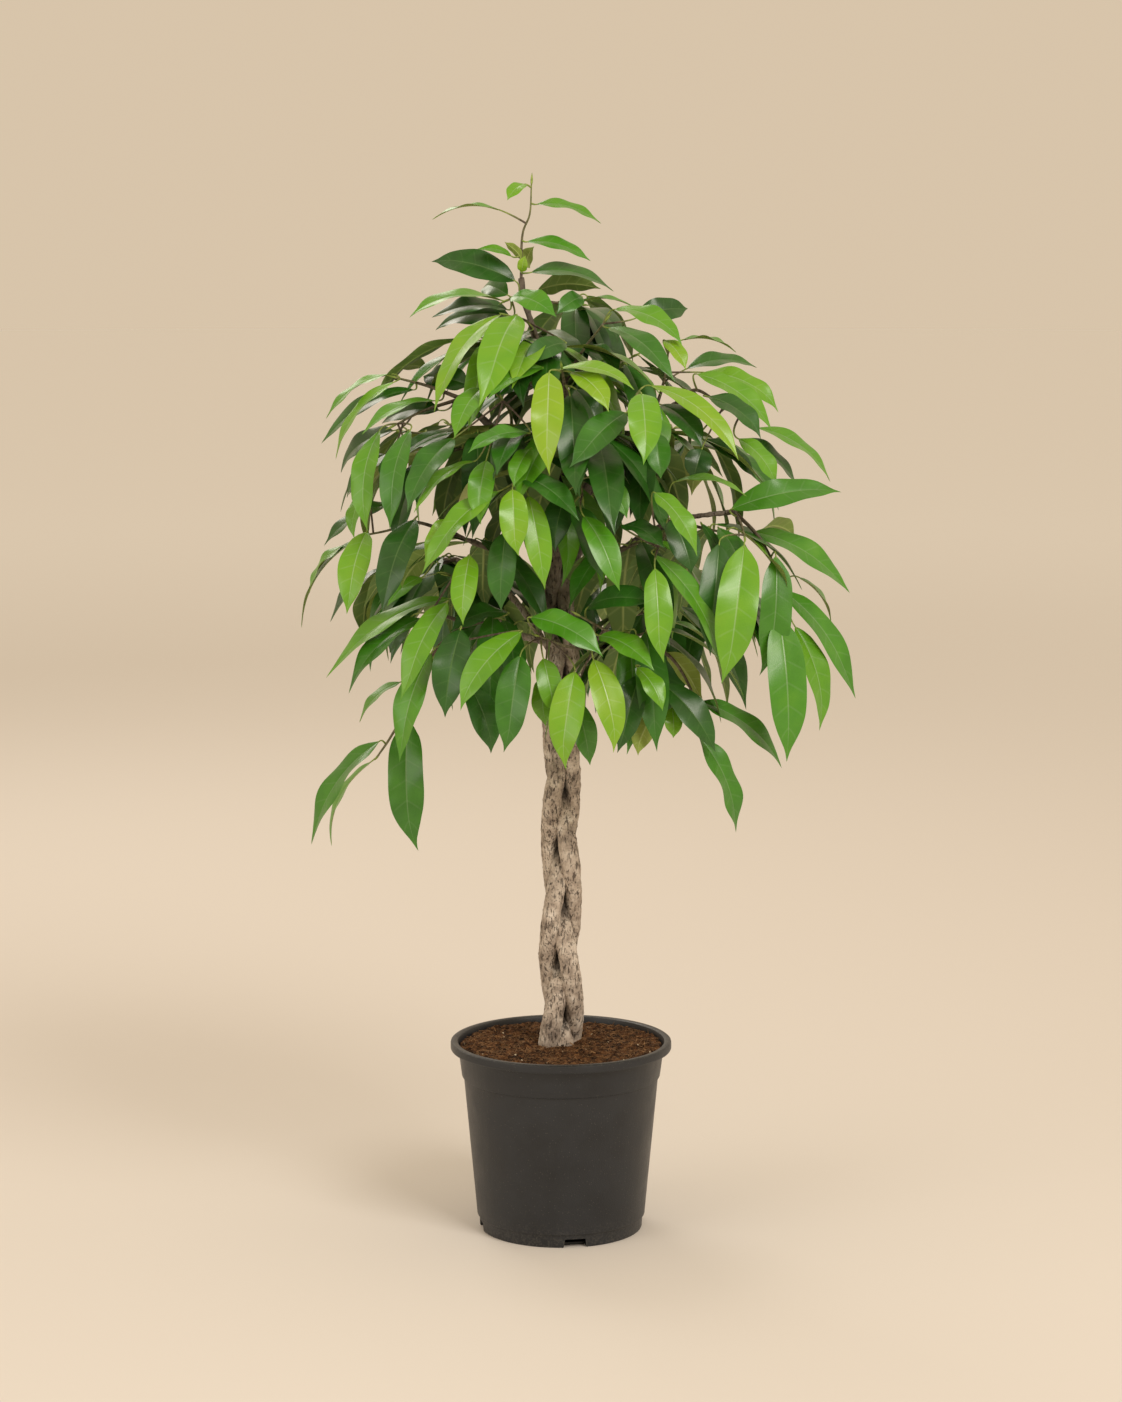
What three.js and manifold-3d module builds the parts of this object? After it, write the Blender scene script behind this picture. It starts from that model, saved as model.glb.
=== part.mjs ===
// A ficus in a nursery pot: three plaited stems that fork into branches, leafy shoots on the branches,
// a bed of potting soil and a tapered plastic pot. Millimetres, +Z up, the origin at the centre of the
// pot's base. Each leafy shoot is one solid: its twig with the leaves that grow from it.
import * as THREE from "three";
import { mergeVertices } from "three/addons/utils/BufferGeometryUtils.js";
import Module from "manifold-3d";

const wasm = await Module();
wasm.setup();

// Pot
const RIM_RADIUS = 120;
const POT_HEIGHT = 208;
const LIP_HEIGHT = 9.5;
const COLLAR_RADIUS = 111.7;
const COLLAR_FOOT_RADIUS = 107.7;
const COLLAR_FOOT_HEIGHT = 168;
const BODY_TOP_RADIUS = 105.8;
const BODY_FOOT_RADIUS = 91.5;
const BODY_FOOT_HEIGHT = 15;
const BASE_RADIUS = 88.5;
const WALL = 2.2;
const FLOOR_THICKNESS = 2.5;
const POT_FACETS = 36;
const DRAIN_WIDTH = 26;
const DRAIN_HEIGHT = 10;
const DRAIN_DEPTH = 16;
const DRAIN_COUNT = 4;
const FIRST_DRAIN_DEG = 10;
const DRAIN_SLOPE = 2;
const DRAIN_OVERSHOOT = 1;
const DRAIN_REACH_OUT = 4;
const FOOT_FLARE = 0.8;
const FOOT_STEP = 1;
const COLLAR_STEP = 1.5;
const LIP_ROUND = 2;
const LIP_UNDERCUT = 1.5;
const MOUTH_ROUND = 1.5;

// Soil
const SOIL_EDGE_HEIGHT = 197;
const SOIL_CROWN_HEIGHT = 204;
const SOIL_FACETS = 24;
const SOIL_SLACK = 0.5;
const SOIL_EDGE_ROUND = 6;

// Plaited stems
const PLAIT_RADIUS = 12.6;
const STEM_RADIUS = 10.2;
const PLAIT_PERIOD = 375;
const PLAIT_FOOT = 150;
const SOIL_LINE = 204;
const PLAIT_TOP = 765;
const PLAIT_POINT_SPACING = 15;
const TAPER_AT_SOIL = 1.1;
const TAPER_LOSS = 0.32;
const UPPER_STEM_SHARE = 0.78;
const STEM_STEPS = 32;
const STEM_SIDES = 6;
const BRANCH_SIDES = 5;
const BRANCH_RADIUS = 5.5;
const BRANCH_TIP_RADIUS = 3.2;
const STEM_TIP_RADIUS = 3.4;
const ROOT_RADIUS = 5;
const ROOT_FLARE_DEPTH = 10;
const BRANCH_STEPS = 4;

// Leaves and twigs
const LEAF_THICKNESS = 1.3;
const LEAF_BOW = 0.13;
const FACE_LIFT = 0.6;
const STALK_RADIUS = 1.1;
const STALK_SIDES = 4;
const TWIG_SIDES = 4;
const TWIG_TIP_SHARE = 0.45;
const END_KEEL_SHARE = 0.8;
const STALK_CUTTER_SHARE = 1.4;

// Clear space kept between neighbouring solids and between a blade and another leaf's stalk, and the
// shortest edge worth keeping after a cut.
const GAP = 0.45;
const STALK_SPARE = 0.01;
const SHORTEST_EDGE = 0.1;
const WELD = 1e-3;
const WELD_PASSES = 3;

const vec = (x, y, z) => new THREE.Vector3(x, y, z);
const radians = THREE.MathUtils.degToRad;

// A repeatable stream of numbers between 0 and 1.
function numberStream(seed) {
  let state = seed;
  return () => {
    state = (state * 16807) % 2147483647;
    return state / 2147483647;
  };
}

// ---- solids ----

function solidOf(geometry) {
  const bare = geometry.clone();
  bare.deleteAttribute("normal");
  bare.deleteAttribute("uv");
  const merged = mergeVertices(bare, WELD);
  return new wasm.Manifold(
    new wasm.Mesh({
      numProp: 3,
      vertProperties: new Float32Array(merged.attributes.position.array),
      triVerts: new Uint32Array(merged.index.array),
    }),
  );
}

function geometryOf(solid) {
  const mesh = solid.getMesh();
  const geometry = new THREE.BufferGeometry();
  geometry.setAttribute("position", new THREE.BufferAttribute(mesh.vertProperties, 3));
  geometry.setIndex(new THREE.BufferAttribute(mesh.triVerts, 1));
  geometry.computeVertexNormals();
  return geometry;
}

// Cuts leave slivers and pinched-off pockets. Welding the vertices sets them free as bodies of their
// own, and only the largest body is kept. Each further pass finds the ones that the last one bared.
function largestBody(solid) {
  let kept = solid;
  for (let pass = 0; pass < WELD_PASSES; pass++) {
    const bodies = solidOf(geometryOf(kept.simplify(SHORTEST_EDGE))).decompose();
    kept = bodies.reduce((best, body) => (body.volume() > best.volume() ? body : best));
  }
  return kept;
}

function union(solids) {
  return solids.reduce((all, solid) => all.add(solid));
}

// Two solids whose boxes are apart can't touch, so only near neighbours are cut away.
function boxesMeet(a, b) {
  const p = a.boundingBox();
  const q = b.boundingBox();
  return [0, 1, 2].every((k) => p.min[k] <= q.max[k] && q.min[k] <= p.max[k]);
}

function cutAway(solid, cutters) {
  return cutters
    .filter((cutter) => boxesMeet(solid, cutter))
    .reduce((rest, cutter) => rest.subtract(cutter), solid);
}

// An outline drawn along a path: a straight extrusion one unit long whose sections are then set out
// where place(u, x, y) puts them, with u running from 0 to 1.
function swept(outline, steps, place) {
  const shape = new THREE.Shape(outline.map(([x, y]) => new THREE.Vector2(x, y)));
  const geometry = new THREE.ExtrudeGeometry(shape, { depth: 1, steps, bevelEnabled: false });
  const position = geometry.attributes.position;
  for (let i = 0; i < position.count; i++) {
    const p = place(position.getZ(i), position.getX(i), position.getY(i));
    position.setXYZ(i, p.x, p.y, p.z);
  }
  return solidOf(geometry);
}

function roundOutline(sides) {
  return Array.from({ length: sides }, (_, k) => {
    const a = (2 * Math.PI * k) / sides;
    return [Math.cos(a), Math.sin(a)];
  });
}

// A round bar along a smooth curve through the points, tapering from one radius to the other.
function taperedBar(points, radiusAt, sides, steps) {
  const curve = new THREE.CatmullRomCurve3(points, false, "centripetal");
  const frames = curve.computeFrenetFrames(steps, false);
  return swept(roundOutline(sides), steps, (u, x, y) => {
    const i = Math.round(u * steps);
    const r = radiusAt(u);
    return curve
      .getPointAt(u)
      .addScaledVector(frames.normals[i], x * r)
      .addScaledVector(frames.binormals[i], y * r);
  });
}

// ---- pot ----

function potBody() {
  const outside = [
    [BASE_RADIUS, 0],
    [BASE_RADIUS + FOOT_FLARE, BODY_FOOT_HEIGHT - FOOT_STEP],
    [BODY_FOOT_RADIUS, BODY_FOOT_HEIGHT],
    [BODY_TOP_RADIUS, COLLAR_FOOT_HEIGHT],
    [COLLAR_FOOT_RADIUS, COLLAR_FOOT_HEIGHT + COLLAR_STEP],
    [COLLAR_RADIUS, POT_HEIGHT - LIP_HEIGHT],
    [RIM_RADIUS - LIP_UNDERCUT, POT_HEIGHT - LIP_HEIGHT],
    [RIM_RADIUS, POT_HEIGHT - LIP_HEIGHT + LIP_ROUND],
    [RIM_RADIUS, POT_HEIGHT - LIP_ROUND],
    [RIM_RADIUS - LIP_ROUND, POT_HEIGHT],
  ];
  const inside = [
    [COLLAR_RADIUS - WALL + MOUTH_ROUND, POT_HEIGHT],
    [COLLAR_RADIUS - WALL, POT_HEIGHT - MOUTH_ROUND],
    [COLLAR_FOOT_RADIUS - WALL, COLLAR_FOOT_HEIGHT + COLLAR_STEP],
    [BODY_TOP_RADIUS - WALL, COLLAR_FOOT_HEIGHT],
    [BODY_FOOT_RADIUS - WALL, BODY_FOOT_HEIGHT],
    [BASE_RADIUS - WALL, FLOOR_THICKNESS],
  ];
  const profile = [[0, 0], ...outside, ...inside, [0, FLOOR_THICKNESS]];
  const points = profile.map(([r, z]) => new THREE.Vector2(r, z));
  const turned = new THREE.LatheGeometry(points, POT_FACETS).rotateX(Math.PI / 2);
  const drains = Array.from({ length: DRAIN_COUNT }, (_, k) => drainCutter(k));
  return drains.reduce((pot, drain) => pot.subtract(drain), solidOf(turned));
}

// A drain slot opens the foot of the wall and the edge of the floor; its sides lean in towards the top.
function drainCutter(k) {
  const half = DRAIN_WIDTH / 2;
  const outline = new THREE.Shape([
    new THREE.Vector2(-half, -DRAIN_OVERSHOOT),
    new THREE.Vector2(half, -DRAIN_OVERSHOOT),
    new THREE.Vector2(half - DRAIN_SLOPE, DRAIN_HEIGHT),
    new THREE.Vector2(-half + DRAIN_SLOPE, DRAIN_HEIGHT),
  ]);
  const block = new THREE.ExtrudeGeometry(outline, { depth: DRAIN_DEPTH, bevelEnabled: false });
  block.rotateX(Math.PI / 2);
  block.translate(0, -(BASE_RADIUS + DRAIN_REACH_OUT - DRAIN_DEPTH), 0);
  block.rotateZ(radians(FIRST_DRAIN_DEG + (360 / DRAIN_COUNT) * k));
  return solidOf(block);
}

// ---- soil ----

function soilBody(stemCutters) {
  const clear = WALL + GAP + SOIL_SLACK;
  const profile = [
    [0, FLOOR_THICKNESS + GAP],
    [BASE_RADIUS - clear, FLOOR_THICKNESS + GAP],
    [BODY_FOOT_RADIUS - clear, BODY_FOOT_HEIGHT],
    [BODY_TOP_RADIUS - clear, COLLAR_FOOT_HEIGHT],
    [COLLAR_FOOT_RADIUS - clear, COLLAR_FOOT_HEIGHT + COLLAR_STEP],
    [COLLAR_RADIUS - clear - 1, SOIL_EDGE_HEIGHT - 2],
    [COLLAR_RADIUS - clear - SOIL_EDGE_ROUND, SOIL_EDGE_HEIGHT],
    [COLLAR_RADIUS * 0.5, (SOIL_EDGE_HEIGHT + SOIL_CROWN_HEIGHT) / 2],
    [0, SOIL_CROWN_HEIGHT],
  ];
  const points = profile.map(([r, z]) => new THREE.Vector2(r, z));
  const turned = new THREE.LatheGeometry(points, SOIL_FACETS).rotateX(Math.PI / 2);
  return largestBody(cutAway(solidOf(turned), stemCutters));
}

// ---- stems ----

// How much the plait has narrowed at a height: it is widest at the soil.
function plaitTaper(z) {
  return TAPER_AT_SOIL - (TAPER_LOSS * (z - SOIL_LINE)) / (PLAIT_TOP - SOIL_LINE);
}

// The centre of one strand: side to side once a period and front to back twice, as in a hair plait.
function strandCentre(phaseDeg, z) {
  const angle = radians(phaseDeg) + (2 * Math.PI * (z - SOIL_LINE)) / PLAIT_PERIOD;
  const spread = PLAIT_RADIUS * plaitTaper(z);
  return vec(spread * Math.sin(angle), spread * Math.sin(2 * angle), z);
}

// Each stem: where its strand stands at the soil line, the points that its upper end passes through,
// and its branches, which leave the plait at a height or leave the upper stem at its first point.
const STEMS = {
  stem_left: {
    phase: -70, upper: [[30, -15, 810], [70, -25, 860], [120, -40, 900]],
    branches: [
      { height: 700, points: [[60, -50, 745], [120, -78, 780], [180, -80, 790]] },
      { height: 720, points: [[50, 60, 790], [90, 120, 840]] },
      { height: 640, points: [[-50, -50, 658], [-100, -75, 672]] }],
  },
  stem_right: {
    phase: 50, upper: [[-30, 0, 815], [-65, -20, 865], [-105, -35, 905]],
    branches: [
      { height: 640, points: [[55, -90, 650], [90, -120, 655]] },
      { height: 740, points: [[-45, 60, 800], [-90, 120, 850]] },
      { height: 600, points: [[60, 70, 660], [115, 120, 700]] }],
  },
  stem_rear: {
    phase: 170, upper: [[5, 5, 830], [-5, 10, 900], [-25, 5, 960], [-40, -5, 1015], [-42, -8, 1030]],
    branches: [
      { height: 700, points: [[-60, -45, 740], [-110, -70, 765]] },
      { start: [5, 5, 830], points: [[5, -75, 888], [5, -120, 915]] },
      { start: [-5, 10, 900], points: [[5, 60, 950], [10, 110, 985]] },
      { height: 625, points: [[-60, 80, 690], [-115, 125, 720]] },
      { height: 650, points: [[0, 60, 680], [0, 130, 700]] }],
  },
};

function stemBody(stem, grow) {
  const plait = [];
  for (let z = PLAIT_FOOT; z <= PLAIT_TOP; z += PLAIT_POINT_SPACING) {
    plait.push(strandCentre(stem.phase, z));
  }
  const points = [...plait, ...stem.upper.map((p) => vec(...p))];
  const total = new THREE.CatmullRomCurve3(points, false, "centripetal").getLength();
  const thickness = (u) => {
    const along = u * total;
    const rooted = SOIL_LINE - ROOT_FLARE_DEPTH - PLAIT_FOOT;
    const plaited = PLAIT_TOP - PLAIT_FOOT;
    if (along < rooted) return ROOT_RADIUS + ((STEM_RADIUS * TAPER_AT_SOIL - ROOT_RADIUS) * along) / rooted;
    if (along < plaited) return STEM_RADIUS * plaitTaper(PLAIT_FOOT + along);
    const left = (along - plaited) / (total - plaited);
    return STEM_RADIUS * UPPER_STEM_SHARE * (1 - left) + STEM_TIP_RADIUS * left;
  };
  const main = taperedBar(points, (u) => thickness(u) + grow, STEM_SIDES, STEM_STEPS);
  const branches = stem.branches.map((branch) => {
    const start = branch.start ? vec(...branch.start) : strandCentre(stem.phase, branch.height);
    const route = [start, ...branch.points.map((p) => vec(...p))];
    const radius = (u) => BRANCH_RADIUS + (BRANCH_TIP_RADIUS - BRANCH_RADIUS) * u + grow;
    return taperedBar(route, radius, BRANCH_SIDES, BRANCH_STEPS);
  });
  return union([main, ...branches]);
}

// ---- leaves ----

// The way the upper face of a leaf looks: a compass angle, 0 towards the front and 90 to the right,
// tipped up by FACE_LIFT.
function faceDirection(faceDeg) {
  const level = Math.sqrt(1 - FACE_LIFT * FACE_LIFT);
  const a = radians(faceDeg);
  return vec(level * Math.sin(a), -level * Math.cos(a), FACE_LIFT);
}

// A leaf is [base x, y, z, tip x, y, z, width, face]. Its midrib bows towards the side that it faces.
function midribOf(leaf) {
  const base = vec(leaf[0], leaf[1], leaf[2]);
  const tip = vec(leaf[3], leaf[4], leaf[5]);
  const face = faceDirection(leaf[7]);
  const chord = tip.clone().sub(base);
  const length = chord.length();
  chord.normalize();
  const lift = face.addScaledVector(chord, -face.dot(chord)).normalize();
  const top = base.clone().add(tip).multiplyScalar(0.5).addScaledVector(lift, 2 * LEAF_BOW * length);
  return { curve: new THREE.QuadraticBezierCurve3(base, top, tip), lift };
}

// Places along the midrib, and the share of the full width at each: stalk end, shoulder, belly, tip.
const BLADE_PLACES = [0, 0.3, 0.68, 1];
const BLADE_WIDTHS = [0.08, 0.95, 0.8, 0.02];

// A leaf: a blade, flat above and keeled below, and its stalk where an anchor on the twig is given.
// Grown by a clear space all round, it cuts its neighbours.
function leafBody(leaf, grow, anchor) {
  const { curve, lift } = midribOf(leaf);
  const first = anchor ? 1 : 0;
  const steps = BLADE_PLACES.length - 1 + first;
  const outline = grow ? [[1, 0], [1, 1], [-1, 1], [-1, 0], [0, -1]] : [[0, -1], [-1, 0], [1, 0]];
  return swept(outline, steps, (u, x, y) => {
    const i = Math.round(u * steps) - first;
    const isStalk = i < 0;
    const isEnd = i <= 0 || i === BLADE_PLACES.length - 1;
    const place = isStalk ? 0 : BLADE_PLACES[i];
    const along = curve.getTangent(place);
    if (isStalk) along.add(curve.v0.clone().sub(anchor).normalize()).normalize();
    const up = lift.clone().addScaledVector(along, -lift.dot(along)).normalize();
    const side = new THREE.Vector3().crossVectors(up, along);
    const half = isStalk ? STALK_RADIUS : (leaf[6] * BLADE_WIDTHS[i]) / 2;
    const keel = isEnd ? LEAF_THICKNESS * END_KEEL_SHARE : LEAF_THICKNESS;
    const point = isStalk ? anchor.clone() : curve.getPoint(place);
    if (u === 0 || u === 1) point.addScaledVector(along, grow * Math.sign(u - 0.5));
    const depth = y > 0 ? grow : y < 0 ? -(keel + grow) : -grow;
    return point.addScaledVector(side, x * (half + grow)).addScaledVector(up, depth);
  });
}

// The stalk alone, a straight bar from the twig to the foot of the blade.
function stalkBody(leaf, anchor, grow) {
  const { curve, lift } = midribOf(leaf);
  const end = curve.v0.clone().addScaledVector(lift, -LEAF_THICKNESS / 2);
  const along = end.clone().sub(anchor).normalize();
  const side = new THREE.Vector3().crossVectors(lift, along).normalize();
  const up = new THREE.Vector3().crossVectors(along, side);
  return swept(roundOutline(STALK_SIDES), 1, (u, x, y) =>
    anchor
      .clone()
      .lerp(end, u)
      .addScaledVector(along, grow * Math.sign(u - 0.5))
      .addScaledVector(side, x * (STALK_RADIUS + grow) * STALK_CUTTER_SHARE)
      .addScaledVector(up, y * (STALK_RADIUS + grow) * STALK_CUTTER_SHARE),
  );
}

// ---- shoots ----

// Each shoot: the points that its twig passes through, starting on a stem or branch, the twig's radius
// at its start, and its leaves. A leaf is [base x, y, z, tip x, y, z, width, face, age], where face is
// the compass angle that its upper side looks to and age runs from 0, old and dark, to 1, new.
const SHOOTS = {
  leader_shoot: {
    twig: [[-42, -8, 1030], [-40, -10, 1078], [-33, -12, 1096], [-31, -12, 1127]], girth: 1.6,
    leaves: [
      [-38, -12, 1128, -56, -34, 1111, 18, -20, 0.75], [-26, -9, 1107, 42, -15, 1086, 22, 55, 0.5],
      [-64, -10, 1101, -135, -20, 1091, 20, -75, 0.5], [-36, -12, 1068, 31, -20, 1047, 22, 45, 0.45],
      [-52, -12, 1053, -88, -16, 1060, 14, -60, 0.5], [-41, -12, 1050, -60, -8, 1067, 12, 165, 0.55],
      [-36, -14, 1042, -29, 6, 1064, 18, 180, 0.5], [-41, -18, 1037, -38, -24, 1054, 12, 0, 0.9],
      [-32, -8, 1036, 56, -12, 1016, 34, 58, 0.25]]
  },
  crown_left_shoot: {
    twig: [[-40, -5, 1015], [-55, -12, 1008]], girth: 2.0,
    leaves: [
      [-48, -8, 1027, -137, 15, 1048, 36, -60, 0.15], [-56, 2, 1012, -82, 50, 1020, 26, -30, 0.25],
      [-62, -20, 1007, -160, -40, 991, 34, -72, 0.55], [-56, -10, 997, -136, -14, 987, 34, -65, 0.12],
      [-54, 0, 990, -133, 22, 977, 34, -55, 0.1], [-52, -22, 1011, -4, -66, 991, 30, 10, 0.5]]
  },
  crown_right_shoot: {
    twig: [[-40, -5, 1015], [-15, -14, 1006], [18, -20, 1003]], girth: 2.2,
    leaves: [
      [-25, 2, 1017, 43, 22, 1018, 32, 165, 0.3],
      [22, -20, 1011, -6, -50, 994, 22, 30, 0.25], [15, -12, 1003, 76, -18, 1000, 20, 82, 0.5]]
  },
  upper_left_front_shoot: {
    twig: [[-25, 5, 960], [-35, -30, 985], [-55, -48, 992]], girth: 2.4,
    leaves: [
      [-63, -48, 993, -130, -130, 895, 34, -35, 0.75], [-46, -52, 993, -79, -150, 900, 42, -8, 0.7],
      [-30, -40, 977, -63, -112, 923, 26, -40, 0.2], [5, -60, 964, -43, -110, 943, 26, 15, 0.15]]
  },
  front_left_shoot: {
    twig: [[-55, -14, 850], [-52, -80, 890], [-60, -112, 908]], girth: 2.4,
    leaves: [
      [-18, -92, 940, -75, -150, 910, 28, -20, 0.5], [-81, -112, 920, -109, -162, 871, 30, -15, 0.55],
      [-110, -120, 869, -158, -172, 797, 36, -20, 0.2], [-33, -168, 877, -95, -192, 859, 28, -45, 0.4],
      [-89, -132, 846, -147, -182, 797, 27, -45, 0.65], [-76, -160, 849, -84, -192, 786, 28, -8, 0.5]]
  },
  left_high_shoot: {
    twig: [[-105, -35, 905], [-140, -30, 918], [-172, -25, 926]], girth: 2.4,
    leaves: [
      [-178, -20, 930, -247, -32, 883, 24, -70, 0.55], [-174, -40, 923, -236, -62, 843, 27, -58, 0.7],
      [-154, -30, 914, -253, -10, 853, 32, -68, 0.25], [-131, -60, 904, -206, -92, 870, 28, -58, 0.5],
      [-175, 0, 927, -142, 60, 931, 26, 175, 0.4], [-97, -20, 918, -148, 14, 924, 32, -58, 0.1]]
  },
  left_drooping_shoot: {
    twig: [[-105, -35, 905], [-145, -60, 893], [-172, -75, 880]], girth: 2.2,
    leaves: [
      [-188, -82, 875, -200, -125, 773, 33, -45, 0.6], [-155, -110, 877, -171, -152, 778, 33, -40, 0.3],
      [-129, -5, 891, -192, 25, 874, 32, -72, 0.1], [-177, -12, 870, -236, 22, 825, 34, -68, 0.1],
      [-186, 10, 843, -230, 32, 795, 26, -48, 0.12], [-166, -60, 850, -186, -82, 820, 24, -30, 0.15]]
  },
  left_side_shoot: {
    twig: [[-110, -70, 765], [-155, -80, 779], [-178, -82, 771], [-203, -86, 766]], girth: 2.2,
    leaves: [
      [-202, -90, 770, -219, -132, 688, 35, -18, 0.75], [-216, -42, 757, -276, -22, 661, 28, -80, 0.4],
      [-228, -32, 751, -266, -42, 700, 26, -68, 0.6], [-150, -120, 786, -181, -172, 694, 37, -20, 0.1],
      [-206, -60, 808, -217, -92, 762, 20, -38, 0.6], [-172, -32, 794, -250, -42, 750, 34, -66, 0.12]]
  },
  left_inner_shoot: {
    twig: [[-110, -70, 765], [-118, -105, 772], [-122, -128, 776]], girth: 2.0,
    leaves: [
      [-114, -150, 789, -137, -172, 745, 23, 0, 0.7],
      [-137, -100, 752, -165, -132, 716, 26, 150, 0.4], [-145, -110, 724, -178, -142, 697, 25, -25, 0.55],
      [-88, -140, 830, -104, -162, 782, 20, 160, 0.9]]
  },
  left_low_shoot: {
    twig: [[-100, -75, 672], [-125, -90, 682], [-148, -108, 680]], girth: 2.4,
    leaves: [
      [-115, -90, 700, -241, -132, 620, 37, -55, 0.6], [-145, -112, 682, -220, -152, 609, 35, -42, 0.3],
      [-157, -60, 678, -180, -72, 640, 28, -28, 0.1], [-116, -150, 703, -159, -202, 607, 35, -25, 0.65],
      [-93, -170, 753, -101, -202, 685, 29, -5, 0.75]]
  },
  left_lower_front_shoot: {
    twig: [[-100, -75, 672], [-108, -120, 668], [-112, -150, 660]], girth: 2.2,
    leaves: [
      [-133, -160, 652, -163, -192, 543, 35, -25, 0.5], [-102, -180, 679, -118, -212, 592, 39, -8, 0.1],
      [-94, -160, 618, -69, -182, 551, 33, 18, 0.15], [-40, -190, 677, -104, -222, 602, 37, -28, 0.65],
      [-55, -112, 688, -114, -152, 672, 31, -38, 0.1]]
  },
  left_hanging_shoot: {
    twig: [[-100, -75, 672], [-135, -78, 640], [-160, -68, 585], [-182, -42, 545], [-196, -10, 522]],
    girth: 2.4,
    leaves: [
      [-161, -62, 568, -156, -92, 432, 41, -15, 0.35], [-193, -32, 541, -265, -42, 429, 38, -55, 0.4],
      [-205, 8, 512, -250, 20, 419, 28, -78, 0.6], [-170, -45, 606, -213, -62, 565, 24, -58, 0.5]]
  },
  front_high_shoot: {
    twig: [[5, -120, 915], [3, -136, 928], [1, -150, 941]], girth: 2.4,
    leaves: [
      [-12, -150, 938, -15, -202, 837, 35, 0, 0.95], [-3, -144, 940, 76, -172, 922, 30, 55, 0.8],
      [11, -150, 938, 51, -192, 901, 28, 20, 0.85], [9, -140, 915, 14, -182, 812, 37, 5, 0.12],
      [15, -134, 920, 40, -152, 874, 31, 20, 0.1]]
  },
  front_right_high_shoot: {
    twig: [[38, -18, 825], [60, -80, 870], [72, -140, 905], [78, -170, 915]], girth: 2.4,
    leaves: [
      [66, -168, 898, 11, -202, 843, 37, -8, 0.3], [81, -186, 918, 85, -244, 850, 36, 4, 0.7],
      [91, -122, 923, 183, -172, 851, 29, 38, 0.8], [102, -130, 904, 144, -162, 862, 33, 33, 0.15],
      [95, -170, 877, 101, -192, 832, 27, 0, 0.25]]
  },
  front_centre_shoot: {
    twig: [[5, -75, 888], [-20, -125, 870], [-38, -158, 845], [-44, -175, 828]], girth: 2.4,
    leaves: [
      [-49, -190, 822, -46, -214, 756, 31, 0, 0.8], [-33, -180, 815, -17, -204, 721, 29, 4, 0.7],
      [-31, -162, 861, -49, -192, 824, 23, -18, 0.5], [-39, -170, 833, 19, -212, 791, 33, 22, 0.25],
      [-56, -170, 778, -62, -192, 698, 31, -5, 0.15], [-62, -172, 819, -138, -202, 735, 35, -42, 0.65]]
  },
  front_inner_shoot: {
    twig: [[5, -75, 888], [18, -120, 850], [22, -155, 812]], girth: 2.0,
    leaves: [
      [23, -190, 795, 57, -222, 721, 31, 18, 0.45], [14, -160, 803, 39, -192, 728, 33, 22, 0.1],
      [40, -140, 830, 68, -165, 790, 26, 20, 0.5], [5, -130, 812, -8, -160, 755, 32, -10, 0.1]]
  },
  front_low_shoot: {
    twig: [[90, -120, 655], [50, -150, 672], [20, -165, 690]], girth: 2.2,
    leaves: [
      [27, -150, 697, 98, -202, 707, 35, 22, 0.12], [39, -180, 672, 94, -222, 641, 33, 28, 0.5],
      [33, -190, 649, 57, -217, 558, 35, 12, 0.85], [14, -172, 604, 29, -182, 538, 27, 12, 0.35]]
  },
  front_lowest_shoot: {
    twig: [[55, -90, 650], [10, -140, 655], [-22, -172, 670]], girth: 2.2,
    leaves: [
      [-31, -190, 692, 44, -222, 657, 35, 22, 0.4], [14, -200, 638, 0, -227, 542, 37, -4, 0.75],
      [-18, -190, 650, -6, -202, 592, 27, 0, 0.6], [-17, -180, 630, -15, -192, 580, 24, -28, 0.6],
      [-41, -200, 655, -54, -222, 557, 37, -4, 0.3]]
  },
  right_low_shoot: {
    twig: [[90, -120, 655], [96, -138, 632], [102, -145, 612]], girth: 2.2,
    leaves: [
      [81, -150, 629, 60, -172, 549, 31, 0, 0.1], [78, -170, 638, 104, -192, 596, 25, 28, 0.7],
      [100, -160, 602, 76, -172, 548, 27, 168, 0.6], [115, -140, 592, 117, -152, 562, 20, 0, 0.7],
      [105, -140, 617, 159, -152, 547, 37, 18, 0.1]]
  },
  right_lower_shoot: {
    twig: [[90, -120, 655], [115, -112, 640], [138, -112, 600], [143, -122, 572]], girth: 2.2,
    leaves: [
      [143, -130, 560, 181, -132, 459, 35, 42, 0.35], [145, -100, 593, 232, -92, 522, 33, 48, 0.35],
      [110, -110, 646, 145, -112, 596, 28, 165, 0.6], [114, -62, 673, 168, -78, 632, 26, 75, 0.5]]
  },
  right_front_shoot: {
    twig: [[120, -78, 780], [108, -120, 770], [98, -158, 757]], girth: 2.2,
    leaves: [
      [95, -190, 742, 99, -212, 647, 31, 4, 0.7], [94, -170, 754, 163, -182, 637, 34, 42, 0.5],
      [95, -170, 817, 138, -202, 755, 29, 28, 0.65], [63, -150, 782, 104, -192, 761, 31, 28, 0.1],
      [113, -140, 787, 134, -162, 733, 35, 14, 0.12], [117, -120, 824, 190, -150, 811, 27, 55, 0.65]]
  },
  right_side_shoot: {
    twig: [[180, -80, 790], [186, -115, 780], [188, -140, 770]], girth: 2.2,
    leaves: [
      [162, -150, 764, 148, -172, 650, 35, 8, 0.12], [187, -160, 763, 168, -192, 623, 45, 4, 0.65],
      [176, -100, 794, 291, -82, 812, 35, 28, 0.4]]
  },
  right_outer_shoot: {
    twig: [[180, -80, 790], [205, -78, 765], [222, -80, 735], [232, -82, 705]], girth: 2.2,
    leaves: [
      [223, -100, 746, 212, -112, 621, 37, 18, 0.35], [226, -110, 685, 235, -132, 534, 43, 8, 0.5],
      [244, -90, 671, 272, -102, 563, 35, 36, 0.6], [231, -70, 707, 306, -82, 591, 37, 42, 0.45],
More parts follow.
